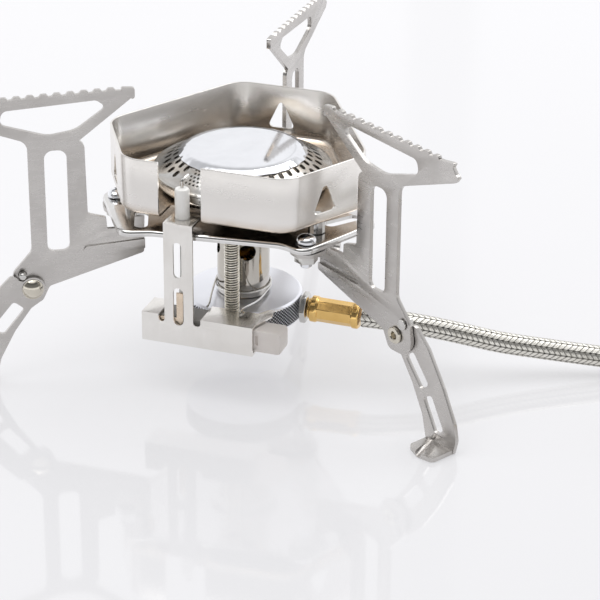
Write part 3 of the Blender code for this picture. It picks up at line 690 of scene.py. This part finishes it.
def tube_mesh(path, radius, around=60):
    """A braided tube along a path. Its UV map holds the share of a turn and the length in millimetres."""
    points = []
    up = Vector((0.0, 0.0, 1.0))
    lengths = [0.0]
    for i, here in enumerate(path):
        ahead = (path[min(i + 1, len(path) - 1)] - path[max(i - 1, 0)]).normalized()
        side = ahead.cross(up).normalized()
        lift = side.cross(ahead)
        if i:
            lengths.append(lengths[-1] + (here - path[i - 1]).length)
        for k in range(around):
            angle = 2 * math.pi * k / around
            reach = radius - BRAID_RELIEF * (1.0 - strand_height(k / around, lengths[-1]))
            points.append(here + (side * math.cos(angle) + lift * math.sin(angle)) * reach)
    faces = grid_faces(len(path), len(path) - 1, around)
    quads = len(faces)
    faces += [tuple(reversed(range(around))), tuple(range(len(points) - around, len(points)))]
    mesh = bpy.data.meshes.new("hose")
    mesh.from_pydata([p * MM for p in points], [], faces)
    uv = mesh.uv_layers.new(name="braid")
    for face in mesh.polygons[:quads]:
        i, k = divmod(face.index, around)
        for loop, (di, dk) in zip(face.loop_indices, ((0, 0), (0, 1), (1, 1), (1, 0))):
            uv.data[loop].uv = ((k + dk) / around, lengths[i + di])
    return mesh, lengths[-1]


def make_hose(pieces_on_it):
    path = hose_line()
    fine_path = smooth_route(path, 0.42)
    mesh, length = tube_mesh(fine_path, HOSE_D / 2)
    hose = piece("hose_braid", mesh, BRAID_LOOK, instead=("hose", "hose_coil"), smooth=60)
    print(f"hose length {length:.1f} mm")


def crimped(flats, depth, low, high):
    """Between two heights, a turned shape pressed to flats."""

    def shape(r, z, angle):
        if not (low <= z <= high and r > 3.0):
            return r, z
        half_flat = math.pi / flats
        off = (angle + half_flat) % (2 * half_flat) - half_flat
        return r * (1 - depth) + r * depth * (off / half_flat) ** 2, z

    return shape


def make_valve():
    heading = (*TAIL_HEADING, 0.0)
    tube = [(0.0, 15.0), (3.4, 15.0), (3.4, 14.0), (4.65, 13.6), (4.65, 11.6), (4.25, 11.2)]
    tube += [(4.25, 6.6), (4.25, 2.0), (4.65, 1.6), (4.65, 0.4), (4.2, 0.0), (3.9, 0.0)]
    tube += [(3.9, 0.3), (0.0, 0.3)]
    shape = turned(softened_profile(tube), 96, crimped(8, 0.05, 2.2, 11.0))
    shape = pointed(shape, along_tail(29.5), heading)
    ferrule = piece("valve_ferrule_brass", shape, BRASS, instead=("valve_ferrule",))
    x, y, _ = along_tail(57.0)
    body = [(0.0, 19.0), (7.4, 19.0), (8.2, 18.2), (8.6, 14.6), (12.0, 13.6), (12.0, 1.2), (11.4, 0.3)]
    body += [(9.6, 0.3), (9.6, 8.6), (0.0, 8.6)]

    def ribbed(r, z, angle):
        return (r - 0.25 * (1 + math.cos(30 * angle)) / 2, z) if r > 11.5 and 2.0 < z < 13.4 else (r, z)

    shape = moved(turned(softened_profile(body, 0.5, 4), 240, ribbed), (x, y, 0.0))
    valve = piece("valve_body_steel", shape, SMALL_STEEL, instead=("valve_body",))
    knob = [(0.0, 8.0), (6.0, 8.0), (6.8, 7.2), (6.8, 0.8), (6.0, 0.0), (0.0, 0.0)]

    def knurled(r, z, angle):
        return (r - 0.35 * (1 + math.cos(18 * angle)) / 2, z) if r > 6.0 and 0.3 < z < 7.7 else (r, z)

    shape = pointed(turned(softened_profile(knob, 0.4, 3), 180, knurled), along_tail(76.6), heading)
    turner = piece("valve_knob_ribbed", shape, BLACK_LOOK, "knob", ("valve_knob",))
    side = Vector((TAIL_HEADING[1], -TAIL_HEADING[0], 0.0))
    bail = [(84.9, -4.6), (94.0, -5.3), (99.6, -5.4), (102.8, -3.5), (103.6, 0.0)]
    bail += [(s, -u) for s, u in bail[-2::-1]]
    path = smooth_route([Vector(along_tail(s)) + side * u for s, u in bail], 0.8)
    loop = piece("valve_handle_wire", wire(path, 2.0), SMALL_STEEL, "knob", ("valve_handle",))
    spindle = rounded_copy("valve_spindle", BRASS, 0.15)
    collar = rounded_copy("canister_collar", BRASS, 0.15)
    seal = rounded_copy("valve_seal", RUBBER_LOOK, 0.2)
    return [ferrule, valve, turner, loop, spindle, collar, seal]


def make_inlet():
    start, end = Vector((21.1, 0.3, 21.6)), Vector((42.5, 1.2, 21.0))
    heading = end - start
    tube = [(0.0, 18.4), (3.8, 18.4), (4.1, 18.4), (4.65, 17.9), (4.65, 16.2), (4.25, 15.7), (4.25, 9.5)]
    tube += [(4.25, 3.4), (4.65, 2.9), (4.65, 1.0), (3.6, 0.7), (3.6, 0.0), (0.0, 0.0)]
    shape = turned(softened_profile(tube, 0.35, 4), 160, crimped(8, 0.075, 3.6, 15.6))
    shape = pointed(shape, start + heading.normalized() * 3.1, heading)
    piece("hose_ferrule_brass", shape, BRASS, instead=("hose_ferrule",), smooth=25)
    rounded_copy("inlet_nut", SMALL_STEEL, 0.25, segments=3)


# ---------------------------------------------------------------- burner


def make_hub():
    r = HUB_R
    low, high = HUB_Z
    around, rows = KNURL_AROUND, KNURL_ROWS
    bottom, top = low + 0.9, high - 0.9
    knurl_low, knurl_high = low + 1.0, high - 1.1
    ring = [knurl_high + (knurl_low - knurl_high) * j / rows for j in range(rows + 1)]
    points, faces = [], []
    loops = [("flat", 0.4, high), ("flat", r - 1.3, high), ("flat", r - 1.0, high - 0.06)]
    loops += [("flat", r - 0.35, top + 0.3)]
    loops += [("knurl", j, z) for j, z in enumerate(ring)]
    loops += [("flat", r - 0.4, bottom - 0.3), ("flat", r - 0.9, low), ("flat", 15.0, low)]
    loops += [("flat", 14.2, low + 1.2), ("flat", 0.4, low + 1.2)]
    for kind, value, z in loops:
        for i in range(around):
            angle = 2 * math.pi * i / around
            radius = value if kind == "flat" else r - (KNURL_DEPTH if (i + value) % 2 else 0.0)
            points.append((radius * math.cos(angle), radius * math.sin(angle), z))
    for j in range(len(loops) - 1):
        for i in range(around):
            m = (i + 1) % around
            a, b = j * around + i, j * around + m
            c, d = (j + 1) * around + m, (j + 1) * around + i
            if loops[j][0] == loops[j + 1][0] == "knurl":
                high_first = (i + loops[j][1]) % 2 == 0
                faces += [(a, d, b), (b, d, c)] if high_first else [(a, d, c), (a, c, b)]
            else:
                faces.append((a, d, c, b))
    faces.append(tuple(range(around)))
    faces.append(tuple(reversed(range((len(loops) - 1) * around, len(loops) * around))))
    shape = mesh_from(points, faces)
    piece("gas_hub_knurled", shape, HUB_STEEL, instead=("gas_hub",), smooth=18)


def make_tube():
    low, high = HUB_Z[1] + 0.3, 65.6
    outline = [(TUBE_R, high), (TUBE_R, low), (TUBE_BORE_R, low), (TUBE_BORE_R, high)]
    shape = turned(outline, 96)
    for azimuth in (29.0, 119.0):
        reach = Vector((math.cos(math.radians(azimuth)), math.sin(math.radians(azimuth)), 0.0)) * 12.0
        centre = Vector((0.0, 0.0, AIR_HOLE_Z))
        shape = cut(shape, rod(centre - reach, centre + reach, 3.0, 40))
    piece("mixing_tube_polished", shape, TUBE_STEEL, instead=("mixing_tube",))


def make_sleeve():
    turns, low, high = 34, HUB_Z[1] + 0.9, 57.2
    path = []
    for i in range(turns * 18 + 1):
        angle = 2 * math.pi * i / 18
        z = low + (high - low) * i / (turns * 18)
        path.append((SLEEVE[0] + SLEEVE_R * math.cos(angle), SLEEVE[1] + SLEEVE_R * math.sin(angle), z))
    spring = wire(path, 0.66, 1)
    piece("sleeve_spring", spring, SPRING_STEEL, instead=("coil_sleeve",), smooth=60)
    inner = [(1.9, 57.4), (1.9, HUB_Z[1] + 0.6), (1.2, HUB_Z[1] + 0.6), (1.2, 57.4)]
    piece("sleeve_core", moved(turned(inner, 32), (*SLEEVE, 0.0)), RUBBER_LOOK)


def make_bowl():
    outer = [(30.5, 70.9), (30.5, 69.4), (30.2, 68.4), (29.5, 67.5), (28.6, 66.8), (27.0, 66.35)]
    outer += [(24.6, 66.1), (10.4, 66.1)]
    neck = [(10.4, 63.2), (9.4, 63.2), (9.4, 66.9)]
    inner = [(24.4, 66.9), (27.2, 67.3), (28.8, 68.2), (29.7, 69.6), (29.7, 70.9)]
    shape = turned(outer + neck + inner, 128)
    piece("burner_bowl_drawn", shape, RING_STEEL, instead=("burner_bowl",))


def cone_at(share):
    """(radius, height) along the ring's slotted cone, from its inner to its outer edge."""
    return 20.4 + 7.6 * share, 77.3 - 4.7 * share


def make_ring():
    """The burner's cone with two staggered rows of ports, and fine holes where the spark lands."""
    outer = [(19.6, 77.6), (20.4, 77.3), (28.0, 72.6), (29.4, 72.35), (30.2, 72.1), (30.6, 71.8)]
    outer += [(30.7, 71.2)]
    inner = [(29.4, 71.2), (27.7, 71.8), (19.6, 76.8)]
    shape = turned(outer + inner, 180)
    tilt = math.atan2(4.7, 7.6)

    def on_cone(loop, azimuth, share):
        radius, height = cone_at(share)
        cutter = sheet(loop, -2.0, 2.0)
        cutter.transform(
            Matrix.Rotation(math.radians(azimuth), 4, "Z")
            @ Matrix.Translation((radius * MM, 0.0, height * MM))
            @ Matrix.Rotation(tilt, 4, "Y")
        )
        return cutter

    cutters = []
    step = 360.0 / RING_PORTS
    for row, (share, length, width) in enumerate(((0.3, 2.9, 1.75), (0.71, 3.0, 1.9))):
        for i in range(RING_PORTS):
            azimuth = step * (i + 0.5 * row)
            if abs(azimuth - SPARK_AZIMUTH) > 14.0:
                half = (length - width) / 2
                cutters.append(on_cone(obround((-half, 0.0), (half, 0.0), width, 6), azimuth, share))
    for row in range(5):
        share = 0.18 + 0.165 * row
        for i in range(-2, 3):
            azimuth = SPARK_AZIMUTH + (i + 0.5 * (row % 2)) * 3.6
            cutters.append(on_cone(circle((0.0, 0.0), 0.47, 12), azimuth, share))
    shape = cut(shape, merged(cutters))
    piece("burner_ring_slotted", shape, RING_STEEL, instead=("burner_ring",), smooth=28)


def make_cap():
    """The pressed lid: a slightly domed mirror face, and a soft shoulder crimped over the ring."""
    top = [(1.25 * i, 78.95 - 0.4 * (1.25 * i / 17.5) ** 2) for i in range(15)]
    top += [(18.8, 78.46), (19.8, 78.3)]
    top += [(20.7, 77.95), (21.5, 77.45), (22.2, 76.95)]
    under = [(22.15, 76.8), (21.9, 76.75), (20.5, 77.65), (19.4, 77.95), (0.0, 78.1)]

    def crimped_edge(r, z, angle):
        share = (r - 18.8) / 3.4
        if share <= 0.0:
            return r, z
        wave = 0.6 * math.cos(26 * angle) + 0.3 * math.cos(11 * angle + 1.0) + 0.1 * math.cos(43 * angle)
        dent = 0.32 * math.sin(math.pi * min(share, 1.0)) * max(wave, 0.0) * (z > 77.0 and r < 22.0)
        return r - 0.45 * share * (1 - wave) / 2, z - 0.3 * dent

    shape = turned(top + under, 260, crimped_edge)
    piece("burner_cap_pressed", shape, MIRROR_STEEL, "stove", ("burner_cap",), smooth=50)


def shield_outline(inset, corner_steps=10):
    normals = [-90.0 + 60.0 * i for i in range(6)]
    reach = [SHIELD_LONG - inset, SHIELD_SHORT - inset] * 3
    radius = max(SHIELD_CORNER_R - inset, 1.0)
    points = []
    for i in range(6):
        a, b = math.radians(normals[i]), math.radians(normals[(i + 1) % 6])
        da, db = reach[i] - radius, reach[(i + 1) % 6] - radius
        turn = math.sin(b - a)
        x = (da * math.sin(b) - db * math.sin(a)) / turn
        y = (db * math.cos(a) - da * math.cos(b)) / turn
        points += arc((x, y), radius, normals[i], normals[i] + 60.0, corner_steps)
    return points


def shield_loop(inset):
    outline = shield_outline(min(inset, 5.0))
    if inset < 20.0:
        return outline
    return [tuple(Vector(p).normalized() * SHIELD_FLOOR_R) for p in outline]


def make_windshield():
    low, high = SHIELD_Z
    t = SHIELD_SHEET
    outer = [(0.25, high), (0.08, high - 0.08), (0.0, high - 0.25), (0.0, low + 2.4), (0.18, low + 1.5)]
    outer += [(0.7, low + 0.7), (1.5, low + 0.2), (2.4, low)]
    floor = [(30.0, low), (30.0, low + t)]
    inner = [(2.6, low + t), (1.9, low + t + 0.15), (1.3, low + 1.4), (0.95, low + 1.9), (t, low + 2.6)]
    inner += [(t, high - 0.25), (t - 0.08, high - 0.08), (t - 0.25, high)]
    shape = swept_ring(shield_loop, outer + floor + inner)
    shape = cut(shape, block((-16.2, -45.0, 60.0), (-1.1, -27.0, 90.0)))
    for side, azimuth in LEG_AZIMUTHS.items():
        middle = VENT_MIDDLES[side]
        vent = [(middle - VENT_HALF_WIDTH, VENT_Z[0], 1.3), (middle + VENT_HALF_WIDTH, VENT_Z[0], 1.3)]
        vent += [(middle, VENT_Z[1], 1.3)]
        cutter = sheet(rounded(vent, 8), 40.0, 46.0, plane="XZ")
        shape = cut(shape, moved(cutter, turn=azimuth - 90.0))
        shape = cut(shape, leg_drill((RIVET_RING_R, 0), RIVET_HOLE_R, 24, 60, azimuth))
    piece("windshield_drawn", shape, SHIELD_STEEL, instead=("windshield",))


def plate_outline(inset):
    third = [(50.4, -125.0, 5.0), (41.8, -117.1, 9.0), (40.6, -52.0, 9.0), (49.4, -46.5, 5.0)]
    corners = []
    for k in range(3):
        for radius, azimuth, corner in third:
            angle = math.radians(azimuth + 120.0 * k)
            corners.append((radius * math.cos(angle), radius * math.sin(angle), corner))
    lines = []
    for i, (x, y, corner) in enumerate(corners):
        ahead = Vector(corners[(i + 1) % len(corners)][:2]) - Vector((x, y))
        inward = Vector((-ahead.y, ahead.x)).normalized()
        lines.append((Vector((x, y)) + inward * inset, ahead))
    inner = []
    for i, (x, y, corner) in enumerate(corners):
        (p, u), (q, v) = lines[i - 1], lines[i]
        s = (q - p).cross(v) / u.cross(v)
        concave = i % 4 in (1, 2)
        inner.append((*(p + u * s), corner + inset if concave else corner - inset))
    return rounded(inner, 8)


def make_base_plate():
    low, high = PLATE_Z
    under = high - PLATE_SHEET
    profile = [(20.0, high), (1.2, high), (0.6, high - 0.12), (0.2, high - 0.45), (0.0, high - 1.0)]
    profile += [(0.0, low), (PLATE_SHEET, low), (PLATE_SHEET, under), (20.0, under)]
    loops = [plate_outline(min(inset, 2.0)) for inset, _ in profile]
    centre_loop = [tuple(Vector(p).normalized() * (TUBE_R + 0.3)) for p in loops[0]]
    loops[0] = loops[-1] = centre_loop
    shape = ring_mesh([[(x, y, z) for x, y in loop] for loop, (_, z) in zip(loops, profile)])
    shape = cut(shape, rod((*CERAMIC, 50), (*CERAMIC, 70), 2.4, 32))
    for azimuth in LEG_AZIMUTHS.values():
        shape = cut(shape, leg_drill(LEG_PIVOT, PIVOT_HOLE_R, 32, 50, azimuth))
        shape = cut(shape, leg_drill((RIVET_RING_R, 0), RIVET_HOLE_R, 24, 50, azimuth))
        slot = sheet(obround((36.2, 8.2), (37.6, 17.0), 4.6), 50.0, 70.0)
        shape = cut(shape, moved(slot, turn=azimuth))
    piece("base_plate_pressed", shape, PLATE_STEEL, instead=("base_plate",))


# ---------------------------------------------------------------- legs


def rounded_run(corners, steps):
    """Rounded corners of an open stretch, whose ends stay sharp."""
    ends = [(*corners[0][:2], 0.0), *corners[1:-1], (*corners[-1][:2], corners[-1][2])]
    return rounded(ends, steps)


def leg_outline():
    """The upper leg from the side, as (radius, height): pan support above, hinge lobe below."""
    support = [(37.1, 99.2, 0.8), (37.1, 104.1, 0.8), (42.6, 104.5, 0.6)]
    teeth = []
    for i in range(11):
        tip = 45.0 + 4.45 * i
        top = 104.35 - 0.035 * (tip - 45.0)
        root = top - TOOTH_DEPTH
        teeth += [(tip - 1.7, root, 0.4), (tip - 0.9, top, 0.5)]
        teeth += [(tip + 0.9, top, 0.5), (tip + 1.7, root, 0.4)]
    nose = [(92.4, 101.9, 0.5), (98.2, 102.6, 0.7), (97.1, 100.9, 0.5), (98.6, 98.9, 0.6), (100.0, 98.2, 0.6)]
    nose += [(98.6, 96.2, 0.8), (73.4, 87.0, 4.0)]
    outer = [(73.4, 47.5, 4.0), (79.8, 40.2, 4.0), (81.4, 32.6, 5.0), (77.8, 28.2, 4.0), (70.6, 28.3, 3.0)]
    flange = [(67.8, 34.2, 2.0), (35.2, 44.4, 1.0)]
    riser = [(34.8, 57.7, 0.0), (40.2, 57.7, 0.0), (40.9, 53.9, 1.0)]
    notch = [(47.6, 53.9, 0.6), (47.8, 58.1, 0.8), (54.0, 59.9, 1.2), (54.4, 85.8, 3.0)]
    return rounded(support, 3) + rounded_run(teeth, 4) + rounded_run(nose + outer + flange + riser + notch, 8)


def upper_leg_mesh():
    slot = [(60.4, 47.0, 2.4), (68.0, 47.0, 2.4), (68.0, 83.7, 3.0), (60.4, 83.7, 3.0)]
    hole = [(46.6, 98.0, 2.2), (50.0, 100.6, 2.2), (81.2, 98.6, 2.4), (82.4, 93.8, 2.4), (66.4, 88.9, 10.0)]
    hole += [(57.2, 90.4, 9.0)]
    holes = (rounded(slot, 8), rounded(hole, 10), circle(DETENT, 1.5, 24), circle(HINGE, PIVOT_HOLE_R, 32))
    inner, outer = LEG_SHEET
    upright = sheet(leg_outline(), inner, outer, holes=holes, plane="XZ")
    lobe = [(35.0, 4.6, 0.0), (35.0, -6.0, 4.0), (38.6, -13.2, 4.6), (47.4, -13.2, 4.6), (47.4, -3.2, 4.6)]
    lobe += [(40.1, 0.4, 2.0), (40.1, 4.6, 0.0)]
    tab = sheet(rounded(lobe, 8), 56.2, 57.65, holes=(circle(LEG_PIVOT, PIVOT_HOLE_R, 32),))
    bead = sheet(obround((34.9, 47.9), (54.2, 46.6), 3.4), outer - 0.2, outer + BEAD_RISE, plane="XZ")
    groove = sheet(obround((33.9, 47.9), (54.2, 46.6), 2.2), inner - 0.5, inner + BEAD_RISE, plane="XZ")
    trim = block((30.0, 0.0, 40.0), (34.9, 8.0, 55.0))
    return edge_rounded(cut(joined(upright, tab, bead), groove, trim), 0.3, 3)


def slot_corners(start, end, width, radius):
    """The four corners of a straight slot between the middles of its two ends."""
    first, last = Vector(start), Vector(end)
    side = Vector((first.y - last.y, last.x - first.x)).normalized() * (width / 2)
    corners = (first + side, first - side, last - side, last + side)
    return [(*corner, radius) for corner in corners]


def lower_leg_mesh():
    corners = [(79.4, 39.5, 2.0), (81.4, 39.0, 1.2), (87.4, 33.0, 8.0), (94.6, 21.8, 8.0)]
    corners += [(100.3, 10.7, 10.0), (101.5, 5.0, 6.0), (100.2, 0.0, 0.0), (87.8, 0.0, 0.0)]
    corners += [(85.6, 9.0, 8.0), (80.4, 19.0, 8.0)]
    corners += [(74.6, 27.2, 3.0), (70.6, 30.0, 1.5)]
    corners += [(*point, 0.0) for point in arc(HINGE, LOBE_R, 200.0, 45.0, 24)]
    corners += [(78.2, 37.7, 0.8)]
    holes = (
        rounded(slot_corners((78.6, 28.6), (86.3, 19.2), 4.8, 1.2), 6),
        rounded(slot_corners((87.6, 16.4), (93.7, 5.4), 4.6, 1.2), 6),
        circle(HINGE, PIVOT_HOLE_R, 32),
    )
    upright = sheet(rounded(corners, 8), *LOWER_SHEET, holes=holes, plane="XZ")
    pad = [(87.9, 6.0, 0.0), (87.9, -2.7, 2.0), (93.9, -4.9, 2.0), (100.1, -3.9, 2.0), (100.1, 6.0, 0.0)]
    foot = joined(upright, sheet(rounded(pad, 8), 0.0, 1.5))
    foot = cut(foot, block((80.0, -10.0, -1.0), (110.0, 10.0, 0.02)))
    crease = rod((90.8, 5.0, 2.9), (94.4, -6.0, 1.5), 1.45, 32)
    return edge_rounded(cut(foot, crease), 0.3, 3)


def leg_piece(node, side, ending, mesh, look, body=None):
    """One leg's piece, drawn for azimuth 0 and turned to its own side."""
    name = f"{node}_{side}"
    piece(f"{name}_{ending}", mesh, look, body or f"leg_{side}", (name,), LEG_AZIMUTHS[side])


def make_legs():
    x, z = HINGE
    outer = LOWER_SHEET[1] + 0.25
    inner = LEG_SHEET[0] - 0.25
    dome = arc((0.0, outer - 2.6), 4.3, 90, 38, 10)
    rivet = [(max(r, 0.0), t) for r, t in dome] + [(3.65, outer), (2.0, outer), (2.0, inner), (2.9, inner)]
    rivet[0] = (0.0, dome[0][1])
    rivet += [(2.9, inner - 0.5), (2.6, inner - 0.8), (1.6, inner - 0.9), (1.3, inner - 0.6)]
    rivet += [(1.2, inner + 0.8), (0.0, inner + 0.8)]
    pin = [(0.0, 7.4), (0.9, 7.4), (1.3, 7.0), (1.3, inner), (1.9, inner), (1.9, inner - 0.5)]
    pin += [(0.0, inner - 0.6)]
    upper, lower = upper_leg_mesh(), lower_leg_mesh()
    for side in LEG_AZIMUTHS:
        leg_piece("upper_leg", side, "steel", upper.copy(), LEG_STEEL)
        leg_piece("lower_leg", side, "steel", lower.copy(), LEG_STEEL, body=f"lower_leg_{side}")
        shape = pointed(turned(rivet, 64), (x, 0, z), (0, 1, 0))
        leg_piece("hinge_rivet", side, "domed", shape, RIVET_STEEL)
        shape = pointed(turned(softened_profile(pin, 0.15), 32), (DETENT[0], 0, DETENT[1]), (0, 1, 0))
        leg_piece("detent_pin", side, "round", shape, SMALL_STEEL)



def make_screws():
    top = PLATE_Z[1] + 0.3
    screw = [(0.0, top + 2.35), (1.4, top + 2.3), (2.4, top + 2.0), (3.0, top + 1.5)]
    screw += [(3.35, top + 0.8), (3.4, top + 0.1), (3.3, top), (1.95, top), (1.95, 51.6)]
    screw += [(1.5, 51.2), (0.0, 51.2)]
    for side in LEG_AZIMUTHS:
        shape = turned(softened_profile(screw, 0.15), 64)
        for turn in (20.0, 110.0):
            shape = cut(shape, moved(block((-1.9, -0.32, top + 1.2), (1.9, 0.32, top + 3.0)), turn=turn))
        shape = moved(shape, (*LEG_PIVOT, 0.0))
        leg_piece("pivot_screw", side, "head", shape, MIRROR_STEEL, "stove")
        rounded_copy(f"pivot_nut_{side}", SMALL_STEEL, 0.25)


# ---------------------------------------------------------------- igniter


def make_igniter():
    rounded_copy("igniter_bracket", BRACKET_STEEL, 0.25, segments=3)
    rounded_copy("piezo_body", GREY_LOOK, 0.4)
    rounded_copy("piezo_button", BUTTON_LOOK, 0.5, "button", 3)
    rounded_copy("piezo_terminal", COPPER, 0.1)
    x, y = CERAMIC
    outline = [(0.0, 75.0), (0.8, 75.0), (1.6, 74.95), (2.2, 74.7), (2.5, 74.2), (2.5, 62.4)]
    outline += [(2.3, 62.0), (2.1, 61.8), (0.0, 61.8)]
    shape = moved(turned(outline, 64), (x, y, 0))
    piece("ceramic_glazed", shape, CERAMIC_LOOK, instead=("ceramic_insulator",))
    spark = [(x, y, 75.1), (x, y, 77.2), (x + 0.3, y + 0.9, 77.9), (x + 0.8, y + 3.4, 78.2)]
    shape = wire(smooth_route(spark, 0.4), 1.2)
    piece("electrode_round", shape, SMALL_STEEL, instead=("electrode_wire",))
    lead = [(x, y, 61.5), (x, y - 0.2, 56.5), (x + 0.6, y - 2.0, 51.0), (x + 1.0, y - 3.2, 45.0)]
    lead += [(x + 0.6, y - 3.6, 36.0), (x + 0.4, y - 3.4, 29.6)]
    shape = wire(smooth_route(lead, 1.0), 1.8)
    piece("ignition_lead_round", shape, WHITE_LOOK, instead=("ignition_lead",))
    around = []
    for i in range(29):
        angle = math.radians(199.0 - 20.0 * i)
        around.append((9.6 * math.cos(angle), 9.6 * math.sin(angle), 28.9 - 1.1 * i / 18))
    clip = [(-2.6, -28.6, 30.9), (-2.8, -26.2, 31.0), (-6.4, -14.0, 29.4)] + around
    clip += [(9.9, -12.0, 27.9), (9.5, -25.6, 30.9), (9.2, -28.6, 30.9)]
    shape = wire(smooth_route(clip, 0.8), 0.75, 2)
    piece("retaining_wire_round", shape, SMALL_STEEL, instead=("retaining_wire",))


def dress_remaining():
    """Every CAD node that is still shown gets its own finished material."""
    looks = {
        "tube_collar": SMALL_STEEL,
        "jet_nozzle": BRASS,
    }
    for side in LEG_AZIMUTHS:
        looks[f"spacer_{side}"] = SMALL_STEEL
        looks[f"shield_rivet_{side}"] = SMALL_STEEL
        looks[f"pivot_washer_{side}"] = SMALL_STEEL
    for node, look in looks.items():
        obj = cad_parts[node]
        for slot in obj.material_slots:
            slot.material = look


# ---------------------------------------------------------------- studio


def make_stage():
    """A glossy white table that is lit from below as well, so that shadows on it stay faint."""
    mesh = bpy.data.meshes.new("floor")
    reach = 3.0
    corners = [(-reach, -reach, 0.0), (reach, -reach, 0.0), (reach, reach, 0.0), (-reach, reach, 0.0)]
    mesh.from_pydata(corners, [], [(0, 1, 2, 3)])
    floor = bpy.data.objects.new("floor", mesh)
    floor.location.z = -0.0002
    bpy.context.scene.collection.objects.link(floor)
    n = Nodes("table_white", 0.0, 0.05, (0.36, 0.36, 0.37))
    n.shader.inputs["IOR"].default_value = 1.5
    n.shader.inputs["Emission Color"].default_value = (0.99, 0.985, 1.0, 1.0)
    n.shader.inputs["Emission Strength"].default_value = 0.44
    mesh.materials.append(n.material)


def make_light(name, place, target, size, power):
    data = bpy.data.lights.new(name, "AREA")
    data.shape = "RECTANGLE"
    data.size, data.size_y = size
    data.energy = power
    light = bpy.data.objects.new(name, data)
    light.location = place
    heading = Vector(target) - Vector(place)
    light.rotation_euler = heading.to_track_quat("-Z", "Y").to_euler()
    bpy.context.scene.collection.objects.link(light)


def make_world():
    """A white studio with a grey ceiling, a dim front and one faint upright behind the stove."""
    world = bpy.data.worlds.new("studio")
    bpy.context.scene.world = world
    world.use_nodes = True
    n = Tree(world.node_tree)
    x, y, z = n.split(n.add("ShaderNodeTexCoord").outputs["Generated"])
    ramp = n.add("ShaderNodeValToRGB")
    n.link(n.span(z, -1.0, 1.0, 0.0, 1.0), ramp.inputs["Fac"])
    stops = [(0.0, 0.95), (0.5, 1.0), (0.74, 1.05), (0.82, 0.65), (0.9, 0.58), (0.94, 1.4), (1.0, 1.5)]
    elements = ramp.color_ramp.elements
    for i, (place, value) in enumerate(stops):
        element = elements[i] if i < 2 else elements.new(place)
        element.position = place
        element.color = (value * 0.99, value * 0.99, value, 1.0)
    off_upright = n.math("ABSOLUTE", n.math("SUBTRACT", n.math("ARCTAN2", y, x), math.radians(105.2)))
    band = n.span(off_upright, 0.009, 0.02, 0.85, 1.0, smooth=True)
    towards = n.math("ADD", n.math("MULTIPLY", x, 0.32), n.math("MULTIPLY", y, -0.95))
    front = n.span(towards, 0.0, 0.35, 0.0, 1.0, smooth=True)
    shade = n.math("MULTIPLY", front, n.span(z, 0.08, 0.2, 0.0, 1.0, smooth=True))
    shade = n.math("MULTIPLY", shade, n.span(z, 0.7, 0.85, 1.0, 0.0, smooth=True))
    room = n.math("SUBTRACT", 1.0, n.math("MULTIPLY", shade, 0.8))
    background = world.node_tree.nodes["Background"]
    n.link(ramp.outputs["Color"], background.inputs["Color"])
    n.link(n.math("MULTIPLY", band, room), background.inputs["Strength"])


make_camera()
make_hose(make_valve())
make_inlet()
make_hub()
make_tube()
make_sleeve()
make_bowl()
make_ring()
make_cap()
make_windshield()
make_base_plate()
make_legs()
make_screws()
make_igniter()
dress_remaining()
make_stage()
make_world()
make_light("key", (-0.35, -0.25, 1.2), (0.0, 0.0, 0.05), (0.9, 0.9), 5.0)
make_light("back", (0.35, 0.85, 1.25), (0.0, 0.0, 0.05), (1.0, 0.6), 4.5)
bpy.context.scene.view_settings.view_transform = "Standard"
